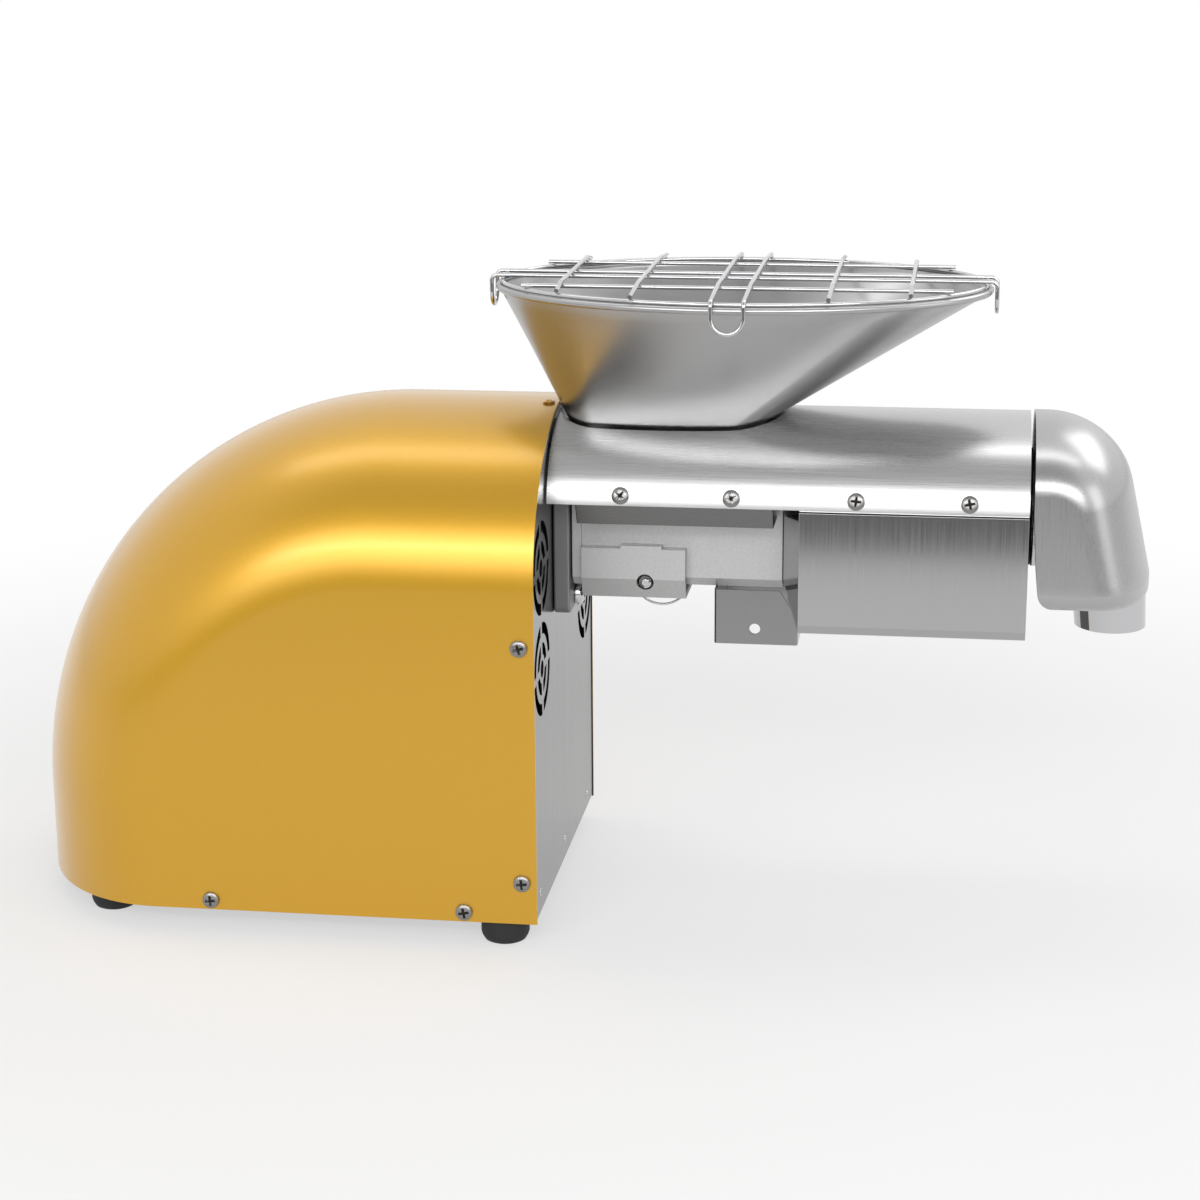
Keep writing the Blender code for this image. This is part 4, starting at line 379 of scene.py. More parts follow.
finish_of_slot = {
    "gold_paint": gold, "brushed_stainless": along_grain, "polished_stainless": bright,
    "blasted_casting": blasted, "machined_steel": machined, "grey_casting": dark_casting,
    "black_rubber": rubber, "black_plastic": black_plastic, "red_plastic": red_plastic,
    "bearing_bronze": bronze, "circuit_board": board_green, "dark_window": smoked,
}

# %% [markdown]
# Every node of the frame first gets the finish of its own slot. Pieces that are right as they are keep
# it, and the ones that are rebuilt below are hidden by their replacement.

# %% Dress the frame's own nodes
slot_of = {entry["node"]: entry["material_slot"] for entry in frame["record"]["subparts"]}
for name, node in frame["nodes"].items():
    node.data.materials.clear()
    node.data.materials.append(finish_of_slot[slot_of[name]].material)
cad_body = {node: body for body, nodes in frame["record"]["behaviour"]["bodies"].items() for node in nodes}
print(len(frame["nodes"]), "nodes dressed")

# %% [markdown]
# Pieces are made from rows of points, flat outlines and turned profiles. Each helper returns an object
# whose mesh already lies where the piece belongs, and `settle` bakes its modifiers, shades it and ties
# it to a body of the frame.

# %% Helpers that turn points into pieces
WELD = 0.000002


def skin(name, rows, closed=False, capped=False):
    """A surface over rows of points; closed joins each row's ends, and capped adds two end faces."""
    surface = bmesh.new()
    grid = [[surface.verts.new(point) for point in row] for row in rows]
    count = len(rows[0])
    for upper, lower in zip(grid, grid[1:]):
        for column in range(count if closed else count - 1):
            following = (column + 1) % count
            surface.faces.new((upper[column], upper[following], lower[following], lower[column]))
    if capped:
        surface.faces.new(grid[0])
        surface.faces.new(grid[-1])
    bmesh.ops.remove_doubles(surface, verts=surface.verts, dist=WELD)
    bmesh.ops.recalc_face_normals(surface, faces=surface.faces)
    mesh = bpy.data.meshes.new(name)
    surface.to_mesh(mesh)
    surface.free()
    return link(name, mesh)


def look_away(piece, inside):
    """Turns the faces of an open surface so that they look away from a point."""
    inside = Vector(inside)
    lean = sum(face.area * face.normal.dot(face.center - inside) for face in piece.data.polygons)
    if lean < 0:
        piece.data.flip_normals()
    return piece


def modify(piece, kind, **settings):
    modifier = piece.modifiers.new(kind, kind)
    for key, value in settings.items():
        setattr(modifier, key, value)
    return piece


def thicken(piece, thickness):
    return modify(piece, "SOLIDIFY", thickness=thickness, offset=-1, use_even_offset=True)


def soften(piece, width, segments=2, angle=30):
    return modify(piece, "BEVEL", width=width, segments=segments, limit_method="ANGLE",
                  angle_limit=radians(angle))


def bake(piece):
    """Replaces a piece by the plain mesh that its modifiers make."""
    mesh = bpy.data.meshes.new_from_object(piece.evaluated_get(bpy.context.evaluated_depsgraph_get()))
    name = piece.name
    bpy.data.objects.remove(piece)
    return link(name, mesh)


def remove(*pieces):
    for piece in pieces:
        bpy.data.objects.remove(piece)


def cut(piece, *tools):
    for tool in tools:
        modify(piece, "BOOLEAN", operation="DIFFERENCE", solver="EXACT", object=tool)
    plain = bake(piece)
    remove(*tools)
    return plain


def join(first, *others):
    """Puts the meshes of the other pieces into the first."""
    joined = bmesh.new()
    for piece in (first, *others):
        joined.from_mesh(piece.data)
    joined.to_mesh(first.data)
    joined.free()
    remove(*others)
    return first


def settle(piece, finish, *nodes, body="press", slot=None, sharp=35):
    """Bakes, shades and finishes a piece, ties it to the body of the nodes it replaces, if any, and hides
    them. The slot argument is not used.
    """
    piece = bake(piece)
    piece.data.shade_smooth()
    piece.data.set_sharp_from_angle(angle=radians(sharp))
    piece = bake(modify(piece, "WEIGHTED_NORMAL", keep_sharp=True))
    piece.data.materials.clear()
    piece.data.materials.append(finish.material)
    if nodes:
        body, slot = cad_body[nodes[0]], slot_of[nodes[0]]
    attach(piece, body)
    if nodes:
        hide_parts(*nodes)
    return piece


# %% [markdown]
# Flat pieces and turned pieces face along one of the frame's axes. `toward` puts a point's two flat
# coordinates and its depth on the right axes, so that one outline serves every direction.

# %% Helpers for flat and turned pieces
def toward(along, across, up, depth):
    return {"X": (depth, across, up), "Y": (across, depth, up), "Z": (across, up, depth)}[along]


def turns_over(start, end, steps):
    return [radians(start + (end - start) * step / steps) for step in range(steps + 1)]


def arc(centre, radius, start, end, steps):
    return [(centre[0] + radius * cos(turn), centre[1] + radius * sin(turn))
            for turn in turns_over(start, end, steps)]


def circle(centre, radius, steps=48):
    return arc(centre, radius, 0, 360, steps)[:-1]


def rounded(centre, half, corner, steps):
    points = []
    for quarter, (side, rise) in enumerate(QUARTERS):
        middle = (centre[0] + side * (half[0] - corner), centre[1] + rise * (half[1] - corner))
        points += arc(middle, corner, quarter * 90, quarter * 90 + 90, steps)
    return points


def plate(name, loops, low, high, along):
    """A flat piece from low to high along an axis: the first loop is its outline, the rest are holes."""
    curve = bpy.data.curves.new(name, "CURVE")
    curve.dimensions = "2D"
    curve.fill_mode = "BOTH"
    curve.extrude = (high - low) / 2
    for loop in loops:
        spline = curve.splines.new("POLY")
        spline.points.add(len(loop) - 1)
        spline.use_cyclic_u = True
        for point, (across, up) in zip(spline.points, loop):
            point.co = (across, up, 0, 1)
    piece = bake(link(name, curve))
    solid = bmesh.new()
    solid.from_mesh(piece.data)
    bmesh.ops.remove_doubles(solid, verts=solid.verts, dist=WELD)
    for vertex in solid.verts:
        across, up, depth = vertex.co
        vertex.co = toward(along, across, up, (low + high) / 2 + depth)
    bmesh.ops.dissolve_limit(solid, angle_limit=radians(1), verts=solid.verts, edges=solid.edges)
    bmesh.ops.recalc_face_normals(solid, faces=solid.faces)
    solid.to_mesh(piece.data)
    solid.free()
    return piece


def turned(name, profile, at, along="Z", steps=64, slope=0.0):
    """A turned piece: its profile is a list of radius and height, measured along an axis from at."""
    rows = []
    for radius, height in profile:
        points = [toward(along, radius * cos(turn), radius * sin(turn), height)
                  for turn in (math.tau * step / steps for step in range(steps))]
        rows.append([Vector(at) + Vector(point) + Vector((-slope * height, 0, 0)) for point in points])
    return skin(name, rows, closed=True)


def rod(radius, low, high):
    return [(0, low), (radius, low), (radius, high), (0, high)]


def rebuilt(node, width, segments, angle=25):
    """A copy of one of the frame's nodes with its flat faces joined and small round edges."""
    source = frame["nodes"][node]
    solid = bmesh.new()
    solid.from_mesh(source.data)
    solid.transform(source.matrix_world)
    bmesh.ops.remove_doubles(solid, verts=solid.verts, dist=WELD)
    bmesh.ops.dissolve_limit(solid, angle_limit=radians(2), verts=solid.verts, edges=solid.edges)
    mesh = bpy.data.meshes.new(node + "_fine")
    solid.to_mesh(mesh)
    solid.free()
    return soften(link(node + "_fine", mesh), width, segments, angle)


# %% [markdown]
# The gold shell is one sheet, crowned across the press and sweeping down in a long quarter ellipse to
# the rear. Each row of its grid is the same quarter-ellipse crown, laid square to the mid-plane line,
# and its ends drop straight to the bottom edge as the two flanks.

# %% Gold shell
SHELL_LOW, SHELL_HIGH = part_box("housing_cover")
LENGTH = PANEL - SHELL_LOW[0]
TOP, BOTTOM = SHELL_HIGH[2], SHELL_LOW[2]
TOP_FLAT = 0.080
SHOULDER_Z = 0.060
CROWN_DEPTH = 0.080
LIP = 0.0006
SHELL_STEPS, CROWN_STEPS = 72, 96
SHELL_HEART = Vector((at_x(-LENGTH / 2), 0, 0.1))
OPENING_MARGIN, OPENING_DEPTH = 0.004, 0.01


def shell_line():
    """The mid-plane line from the front of the top to the rear foot, with the way inwards."""
    back, rise = LENGTH - TOP_FLAT, TOP - SHOULDER_Z
    line = [(LIP, TOP, 0, -1)]
    for step in range(SHELL_STEPS + 1):
        turn = math.pi / 2 * step / SHELL_STEPS
        inward = Vector((sin(turn) / back, -cos(turn) / rise)).normalized()
        line.append((-TOP_FLAT - back * sin(turn), SHOULDER_Z + rise * cos(turn), *inward))
    return line + [(-LENGTH, BOTTOM, 1, 0)]


rows = []
for x, z, inward_x, inward_z in shell_line():
    row = []
    for turn in turns_over(-90, 90, CROWN_STEPS):
        inset = CROWN_DEPTH * (1 - cos(turn))
        row.append((at_x(x + inward_x * inset), HALF_WIDTH * sin(turn), z + inward_z * inset))
    rows.append([(row[0][0], -HALF_WIDTH, BOTTOM)] + row + [(row[-1][0], HALF_WIDTH, BOTTOM)])
shell = thicken(look_away(skin("gold_shell", rows), SHELL_HEART), SHEET)
openings = []
control_low, control_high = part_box("control_plate")
for number, (low, high) in enumerate(((control_low, control_high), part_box("power_inlet"))):
    left, right, lower, upper = [side + OPENING_MARGIN * way for side, way in
                                 ((low[0], 1), (high[0], -1), (low[2], 1), (high[2], -1))]
    outline = [(left, lower), (right, lower), (right, upper), (left, upper)]
    openings.append(plate(f"shell_opening_{number}", [outline], HALF_WIDTH - OPENING_DEPTH,
                          HALF_WIDTH + OPENING_DEPTH, "Y"))
shell = cut(shell, *openings)
shell = settle(soften(shell, 0.00035, 2, 60), gold, "housing_cover", sharp=40)
# The inner faces take the near-black painted shade.
shell.data.materials.append(shell_inside_painted_shade.material)
for face in shell.data.polygons:
    if face.normal.dot(face.center - SHELL_HEART) < 0:
        face.material_index = 1
print("shell of", len(rows), "rows")

# %% [markdown]
# The front panel of brushed sheet closes the shell. Each of its four vents is a round hole inside two
# rings, and each ring is four arc slots between straight bridges.

# %% Front panel with its vents
VENT_HOLE = 0.0045
VENT_RINGS = (0.0105, 0.0210)
VENT_SLOT, VENT_BRIDGE = 0.0060, 0.0043
VENT_TURN, VENT_STEPS = 4.0, 14
VENT_Y, VENT_HEIGHTS = 0.0720, (0.1942, 0.1415)
SHAFT_HOLE = 0.0138
PANEL_GAP = 0.0020


def vent_slot(centre, radius, quarter):
    """One arc slot whose ends run straight along the bridges beside it."""
    slot = []
    for side, way in ((radius - VENT_SLOT / 2, 1), (radius + VENT_SLOT / 2, -1)):
        cut_off = math.degrees(math.asin(VENT_BRIDGE / 2 / side))
        ends = (quarter * 90 + cut_off + VENT_TURN, quarter * 90 + 90 - cut_off + VENT_TURN)
        slot += arc(centre, side, *ends[::way], VENT_STEPS)
    return slot


def vent_loops(centre):
    return [circle(centre, VENT_HOLE)] + [vent_slot(centre, radius, quarter)
                                          for radius in VENT_RINGS for quarter in range(4)]


half = HALF_WIDTH - PANEL_GAP
outline = [(half * sin(turn), TOP - CROWN_DEPTH + (CROWN_DEPTH - PANEL_GAP) * cos(turn))
           for turn in turns_over(-90, 90, CROWN_STEPS)]
outline += [(half, BOTTOM + SHEET), (-half, BOTTOM + SHEET)]
loops = [outline, circle((0, SHAFT_Z), SHAFT_HOLE)]
for y in (-VENT_Y, VENT_Y):
    for z in VENT_HEIGHTS:
        loops += vent_loops((y, z))
panel = plate("panel_sheet", loops, PANEL - SHEET, PANEL, "X")
# The panel sheet takes the darkened steel: painted shade.
settle(soften(panel, 0.0002, 1, 60), panel_steel, "front_panel")
print("panel with", len(loops) - 2, "vent openings")

# %% [markdown]
# The hopper is a loft: every point of its oval rim runs straight down to a point of the rounded
# rectangle over the feed throat. The same pairing of points, grown by a little, opens the barrel cover.

# %% Hopper
RIM_X, RIM_Z = 0.0939, 0.3269
RIM_HALF = (0.1250, 0.0820)
BEAD = 0.0018
NECK_X, NECK_Z = 0.0522, 0.2518
NECK_HALF, NECK_CORNER = (0.0429, 0.0259), 0.0120
THROAT_HALF, THROAT_CORNER = (0.0180, 0.0135), 0.0050
THROAT_DEPTH, THROAT_GAP, THROAT_DROP = 0.0090, 0.0003, 0.0004
LONG_FLAT, SHORT_FLAT = 37.0, 15.0
CORNER_STEPS, LONG_STEPS, SHORT_STEPS = 20, 24, 12
FUNNEL_SHARES = (0.985, 0.9, 0.75, 0.6, 0.45, 0.3, 0.15, 0.06, 0.02, 0.0)
FLOOR_SHARES = (0.5, 0.08, 0.0)


def between(first, last, share):
    return tuple(a + (b - a) * share for a, b in zip(first, last))


def neck_ring(half, corner):
    """A rounded rectangle with a fixed number of points in each corner and side."""
    ring = []
    for quarter, (side, rise) in enumerate(QUARTERS):
        middle = (NECK_X + side * (half[0] - corner), rise * (half[1] - corner))
        ring += arc(middle, corner, quarter * 90, quarter * 90 + 90, CORNER_STEPS)
        here, opens_long = ring[-1], quarter % 2 == 0
        other = (2 * NECK_X - here[0], here[1]) if opens_long else (here[0], -here[1])
        steps = LONG_STEPS if opens_long else SHORT_STEPS
        ring += [between(here, other, step / steps) for step in range(1, steps)]
    return ring


def rim_ring(grow):
    """The oval's points, in step with those of the neck's ring."""
    turns = []
    for quarter in range(4):
        opens_long = quarter % 2 == 0
        first, last = (SHORT_FLAT, 90 - LONG_FLAT) if opens_long else (LONG_FLAT, 90 - SHORT_FLAT)
        turns += [quarter * 90 + first + (last - first) * step / CORNER_STEPS
                  for step in range(CORNER_STEPS + 1)]
        steps, reach = (LONG_STEPS, LONG_FLAT) if opens_long else (SHORT_STEPS, SHORT_FLAT)
        turns += [quarter * 90 + 90 - reach + 2 * reach * step / steps for step in range(1, steps)]
    return [(RIM_X + (RIM_HALF[0] + grow) * cos(radians(turn)),
             (RIM_HALF[1] + grow) * sin(radians(turn))) for turn in turns]


def ring_between(inner, outer, share, z):
    return [(at_x(x), y, z) for x, y in (between(*pair, share) for pair in zip(inner, outer))]


def loft_ring(grow, share, z):
    neck = neck_ring([side + grow for side in NECK_HALF], NECK_CORNER + grow)
    return ring_between(neck, rim_ring(grow), share, z)


rows = []
for turn in turns_over(-200, 160, 18):
    rows.append([(at_x(x), y, RIM_Z + BEAD * sin(turn)) for x, y in rim_ring(BEAD * cos(turn))])
floor_z = NECK_Z + THIN
for share in FUNNEL_SHARES:
    rows.append(loft_ring(-THIN, share, floor_z + (RIM_Z - floor_z) * share))
outer = neck_ring([side - THIN for side in NECK_HALF], NECK_CORNER - THIN)
inner = neck_ring([side - THIN - THROAT_GAP for side in THROAT_HALF], THROAT_CORNER - THIN - THROAT_GAP)
for share in FLOOR_SHARES:
    rows.append(ring_between(inner, outer, share, floor_z - (0 if share else THROAT_DROP)))
rows.append([(x, y, NECK_Z - THROAT_DEPTH) for x, y, _ in rows[-1]])
funnel = look_away(skin("hopper_sheet", rows, closed=True), (at_x(NECK_X), 0, RIM_Z))
funnel.data.flip_normals()
settle(thicken(funnel, THIN), hopper_steel, "hopper", sharp=40)
print("hopper of", len(rows), "rings")

# %% [markdown]
# Every bent wire comes from one Geometry Nodes tree: the path's corners are filleted, a round profile
# runs along it, and the ends are capped. Two helpers, which the later trees use as well, make a tree
# with its named inputs and put it on a piece.

# %% Helpers for trees, and the bent wire tree
def geometry_tree(name, inputs, output):
    """A tree with its named inputs, which ends by making its result real and giving it the finish."""
    tree = bpy.data.node_groups.new(name, "GeometryNodeTree")
    for socket, kind in {**inputs, "Finish": "Material"}.items():
        tree.interface.new_socket(socket, in_out="INPUT", socket_type="NodeSocket" + kind)
    tree.interface.new_socket(output, in_out="OUTPUT", socket_type="NodeSocketGeometry")
    add_nodes(tree, "", {"given": "GroupInput", "result": "GroupOutput"})
    add_nodes(tree, "Geometry", {"realize": "RealizeInstances", "colour": "SetMaterial"})
    link_up(tree, "realize.Geometry > colour.Geometry", "given.Finish > colour.Material",
            f"colour.Geometry > result.{output}")
    return tree


def apply_tree(piece, tree, **values):
    """Puts a tree on a piece and sets the tree's named inputs by their identifiers."""
    modifier = piece.modifiers.new(tree.name, "NODES")
    modifier.node_group = tree
    for item in tree.interface.items_tree:
        key = item.name.replace(" ", "_")
        if item.item_type == "SOCKET" and item.in_out == "INPUT" and key in values:
            modifier[item.identifier] = values[key]
    return piece


bent_wire = geometry_tree("bent_wire", {"Path": "Geometry", "Wire radius": "Float", "Bend radius": "Float",
                                        "Bend steps": "Int", "Sides": "Int"}, "Wire")
add_nodes(bent_wire, "Geometry", {
    "path": "MeshToCurve",
    "bend": ("FilletCurve", {"mode": "POLY", "Limit Radius": True}),
    "section": "CurvePrimitiveCircle",
    "sweep": ("CurveToMesh", {"Fill Caps": True})})
link_up(bent_wire, "given.Path > path.Mesh", "path.Curve > bend.Curve", "given.Bend radius > bend.Radius",
        "given.Bend steps > bend.Count", "given.Wire radius > section.Radius",
        "given.Sides > section.Resolution", "bend.Curve > sweep.Curve",
        "section.Curve > sweep.Profile Curve", "sweep.Mesh > realize.Geometry")
print("wire tree of", len(bent_wire.nodes), "nodes")


def wire(name, points, radius, bend=0.0, closed=False):
    """A wire along a path of corner points."""
    path = bpy.data.meshes.new(name)
    edges = [(number, number + 1) for number in range(len(points) - 1)]
    if closed:
        edges.append((len(points) - 1, 0))
    path.from_pydata(points, edges, [])
    return apply_tree(link(name, path), bent_wire, Wire_radius=radius, Bend_radius=bend, Bend_steps=8,
                      Sides=16, Finish=bright.material)


# %% [markdown]
# The wire grille lies on the rim: an oval ring, two wires along it, four across them, and two hairpins
# that end in hanging loops to lift it by. Each wire rests on the ones below, with a hair's gap.

# %% Wire grille
WIRE, GAP = 0.0011, 0.0003
RING_INSET = 0.0015
RING_HALF = [half - RING_INSET for half in RIM_HALF]
RING_Z = RIM_Z + sqrt((BEAD + WIRE + GAP) ** 2 - RING_INSET ** 2)
LEVEL = 2 * WIRE + GAP - 0.0001
LOWER_Z, UPPER_Z = RING_Z + LEVEL, RING_Z + 2 * LEVEL
LONG_Y = 0.0427
CROSS_X = (-0.0867, -0.0480, 0.0480, 0.0867)
PAST_RING, PAST_BEAD = 0.0022, 0.0005
HAIRPIN_HALF, HAIRPIN_DROP, HAIRPIN_BEND = 0.0080, 0.0160, 0.0030
GRILLE_BEND, RING_STEPS = 0.0025, 160


def ring_reach(offset, along):
    return RING_HALF[along] * sqrt(1 - (offset / RING_HALF[1 - along]) ** 2)


def along_x(reach, offset, z):
    return (at_x(RIM_X + reach), offset, z)


def along_y(reach, offset, z):
    return (at_x(RIM_X + offset), reach, z)


def hairpin(name, place, edge, crest, others):
    """Two wires side by side over the ring, joined at both ends by a loop that hangs down."""
    side = [(-(others + LEVEL * 2), crest), (others + LEVEL * 2, crest), (edge - HAIRPIN_BEND * 2, LOWER_Z)]
    side += [(edge - HAIRPIN_BEND + HAIRPIN_BEND * sin(turn),
              LOWER_Z - HAIRPIN_BEND + HAIRPIN_BEND * cos(turn)) for turn in turns_over(0, 90, 9)]
    bow_z = LOWER_Z - HAIRPIN_DROP + HAIRPIN_HALF
    points = []
    for sign in (1, -1):
        points += [place(sign * reach, sign * HAIRPIN_HALF, z) for reach, z in side]
        points += [place(sign * edge, sign * HAIRPIN_HALF * cos(turn), bow_z - HAIRPIN_HALF * sin(turn))
                   for turn in turns_over(0, 180, 20)]
        points += [place(sign * reach, -sign * HAIRPIN_HALF, z) for reach, z in reversed(side[2:])]
    return wire(name, points, WIRE, closed=True)


ring = [(at_x(RIM_X) + RING_HALF[0] * cos(turn), RING_HALF[1] * sin(turn), RING_Z)
        for turn in (math.tau * step / RING_STEPS for step in range(RING_STEPS))]
wires = {"grille_ring": wire("ring_wire", ring, WIRE, closed=True)}
edge = BEAD + WIRE + PAST_BEAD
wires["grille_loop_long"] = hairpin("long_hairpin", along_x, RIM_HALF[0] + edge, LOWER_Z,
                                    ring_reach(0, 0) / 2)
wires["grille_loop_cross"] = hairpin("cross_hairpin", along_y, RIM_HALF[1] + edge, UPPER_Z, LONG_Y)
for side, y in (("near", -LONG_Y), ("far", LONG_Y)):
    reach = ring_reach(y, 0) + PAST_RING
    ends = [along_x(-reach, y, LOWER_Z), along_x(reach, y, LOWER_Z)]
    wires[f"grille_wire_{side}"] = wire(f"long_wire_{side}", ends, WIRE)
for number, x in enumerate(CROSS_X, 1):
    reach, crest = ring_reach(x, 1), LONG_Y + LEVEL
    stops = ((-reach - PAST_RING, LOWER_Z), (-reach, LOWER_Z), (-crest, UPPER_Z),
             (crest, UPPER_Z), (reach, LOWER_Z), (reach + PAST_RING, LOWER_Z))
    points = [along_y(y, x, z) for y, z in stops]
    wires[f"grille_cross_{number}"] = wire(f"cross_wire_{number}", points, WIRE, GRILLE_BEND)
for node, piece in wires.items():
    settle(piece, bright, node, sharp=60)
print(len(wires), "wires in the grille")

# %% [markdown]
# The barrel cover is an arch of thin sheet with the hopper's shape cut out of it. Below it sit the
# joggled heater cover and the two rails, which only need round edges and a tuck under the arch.

# %% Covers of the press head
COVER_LOW, COVER_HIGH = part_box("barrel_cover")
SINK = 0.0030
ARCH_Z = COVER_LOW[2] - SINK
ARCH_RISE = COVER_HIGH[2] - ARCH_Z
ARCH_HALF = COVER_HIGH[1] / sqrt(1 - (SINK / ARCH_RISE) ** 2)
ARCH_END = math.acos(SINK / ARCH_RISE)
ARCH_STEPS, UNDER_ARCH = 60, 0.9
PLUG_GAP, PLUG_DROP = 0.0005, 0.0003
rows = []
for x in (COVER_LOW[0], COVER_HIGH[0]):
    rows.append([(x, ARCH_HALF * sin(turn), ARCH_Z + ARCH_RISE * cos(turn))
                 for turn in (ARCH_END * (step / ARCH_STEPS - 1) for step in range(2 * ARCH_STEPS + 1))])
cover = thicken(look_away(skin("cover_sheet", rows), (at_x(0.12), 0, 0.2)), THIN)
grow = THIN + PLUG_GAP
plug = skin("hopper_plug", [loft_ring(grow, 0, NECK_Z - PLUG_DROP), loft_ring(grow, 1, RIM_Z)], True, True)
settle(soften(cut(cover, plug), 0.00025, 2, 60), along_grain, "barrel_cover")


def arch_half_at(z):
    return ARCH_HALF * sqrt(1 - ((z - ARCH_Z) / ARCH_RISE) ** 2)


def tuck_under_arch(piece):
    """Moves what stands up inside the cover inwards by as much as the arch leans there."""
    for vertex in piece.data.vertices:
        side, z = vertex.co.y, vertex.co.z
        if abs(side) > COVER_HIGH[1] * UNDER_ARCH and z > COVER_LOW[2]:
            vertex.co.y -= math.copysign(COVER_HIGH[1] - arch_half_at(z), side)
    return piece


settle(tuck_under_arch(rebuilt("heater_cover", 0.0009, 3)), upright_grain, "heater_cover")
for node in ("cover_rail_near", "cover_rail_far"):
    # The rails take the darkened steel: painted shade for their slanted faces.
    settle(tuck_under_arch(rebuilt(node, 0.0006, 3)), rail_steel, node)
print("cover from", round(COVER_LOW[0], 4), "to", round(COVER_HIGH[0], 4))

# %% [markdown]
# The oil duct under the barrel is one strip of sheet bent round four corners. Its front upper corner is
# cut on the slant where the heater cover narrows, and both flanks have a round hole.

# %% Oil duct
DUCT_LOW, DUCT_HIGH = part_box("oil_chute")
DUCT_BEND = 0.0016
DUCT_HOLE, DUCT_HOLE_PLACE = 0.0028, (at_x(0.1042), 0.1542)
HEATER_STEP, HEATER_CLEAR, BEYOND = 0.0094, 0.0020, 0.01
middle = (middle_of(DUCT_LOW, DUCT_HIGH)[0], 0)
half = ((DUCT_HIGH[0] - DUCT_LOW[0]) / 2, DUCT_HIGH[1])
walls = [rounded(middle, [side - inset for side in half], DUCT_BEND - inset, 5) for inset in (0, THIN)]
duct = plate("duct_sheet", walls, DUCT_LOW[2], DUCT_HIGH[2], "Z")
heater_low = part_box("heater_cover")[0]
left, lower, beyond, above = (heater_low[0] - HEATER_CLEAR, heater_low[2] - HEATER_CLEAR,
                              DUCT_HIGH[0] + BEYOND, DUCT_HIGH[2] + BEYOND)
slope = [(heater_low[0] + HEATER_STEP, lower), (beyond, lower), (beyond, above), (left, above),
         (left, DUCT_HIGH[2] + GAP)]
reach = DUCT_HIGH[1] + 0.001
duct = cut(duct, plate("duct_corner", [slope], -reach, reach, "Y"),
           plate("duct_holes", [circle(DUCT_HOLE_PLACE, DUCT_HOLE)], -reach, reach, "Y"))
settle(soften(duct, 0.0002, 2, 50), duct_steel, "oil_chute", sharp=30)
print("duct", [round(1000 * (high - low), 1) for low, high in zip(DUCT_LOW, DUCT_HIGH)], "mm")

# %% [markdown]
# The discharge hood is crowned like the cover at its top and turns down in a rounded shoulder. It is
# made as two closed forms, and the smaller one hollows the larger out. The photograph shows its foot
# a little higher than the solid's, with more of the polished outlet under it, so it is raised here.

# %% Discharge hood and outlet tube
HOOD_LOW, HOOD_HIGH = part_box("discharge_elbow")
NOSE = HOOD_HIGH[0]
HOOD_FLAT, HOOD_CROWN, HOOD_RAISE = 0.0060, 0.0300, 0.0078
FOOT_Z = HOOD_LOW[2] + HOOD_RAISE
SHOULDER = (0.0450, 0.0415)
HOOD_SLOPE = math.tan(radians(4.0))
FOOT, TOE = 0.0100, 0.0030
WALL, LIP_ROUND = 0.0014, 0.0004
NUT_RADIUS = 0.0322
OUTLET_X, OUTLET, FLARE = 0.2845, 0.0182, 0.0190
OUTLET_DROP, OUTLET_RISE = 0.0125, HOOD_RAISE + 0.0050
NOSE_SHARES = (0.15, 0.3, 0.45, 0.6, 0.75, 0.9)
HOOD_STEPS, SHOULDER_STEPS = 48, 32

# The shoulder ends where its own slope points at the foot of the nose.
shoulder_turn = math.pi / 2
for _ in range(20):
    across = NOSE - HOOD_LOW[0] - HOOD_FLAT - SHOULDER[0] * sin(shoulder_turn)
    down = HOOD_HIGH[2] - SHOULDER[1] * (1 - cos(shoulder_turn)) - FOOT_Z - FOOT
    shoulder_turn = math.atan2(SHOULDER[0] * down, SHOULDER[1] * across)
print("shoulder turns", round(math.degrees(shoulder_turn), 1), "degrees before its straight nose")


def hood_line(inset):
    """The mid-plane line over the hood, with the way inwards."""
    top, flat_x = HOOD_HIGH[2] - inset, HOOD_LOW[0] + HOOD_FLAT
    width, rise = [half - inset for half in SHOULDER]
    shoulder_z, toe_z = HOOD_HIGH[2] - SHOULDER[1], FOOT_Z + FOOT
    line = [(HOOD_LOW[0] + inset, top, 0, -1)]
    for turn in (shoulder_turn * step / SHOULDER_STEPS for step in range(SHOULDER_STEPS + 1)):
        inward = Vector((-sin(turn) / width, -cos(turn) / rise)).normalized()
        line.append((flat_x + width * sin(turn), shoulder_z + rise * cos(turn), *inward))
    start = line[-1]
    for share in NOSE_SHARES:
        place = between(start[:2], (NOSE - inset, toe_z), share)
        line.append((*place, *Vector(start[2:]).lerp(Vector((-1, 0)), share).normalized()))
    return line


def hood_form(name, inset):
    """The hood as a closed form, inset from its outer face."""
    left, right, low = HOOD_LOW[0] + inset, NOSE - inset, FOOT_Z + inset
    half, crown = HOOD_HIGH[1] - inset, HOOD_CROWN - inset
    foot, toe = FOOT - inset, TOE - inset
    rows = []
    for x, z, inward_x, inward_z in hood_line(inset):
        row = [(x + inward_x * crown * (1 - cos(turn)), half * sin(turn),
                z + inward_z * crown * (1 - cos(turn))) for turn in turns_over(-90, 90, HOOD_STEPS)]
        back = left + HOOD_SLOPE * max(0, COVER_LOW[2] - row[0][2])
        rows.append(row + [(back, half, row[0][2]), (back, -half, row[0][2])])
    for turn in turns_over(0, 90, 9):
        tuck, height = foot * (1 - cos(turn)), foot * (1 - sin(turn))
        nose_tuck = toe - sqrt(toe ** 2 - max(0, toe - height) ** 2)
        z = low + height
        row = [(right - nose_tuck - (crown - nose_tuck) * (1 - cos(around)), (half - tuck) * sin(around), z)
               for around in turns_over(-90, 90, HOOD_STEPS)]
        back = left + HOOD_SLOPE * (COVER_LOW[2] - z) + tuck
        rows.append(row + [(back, half - tuck, z), (back, -half + tuck, z)])
    return skin(name, rows, closed=True, capped=True)


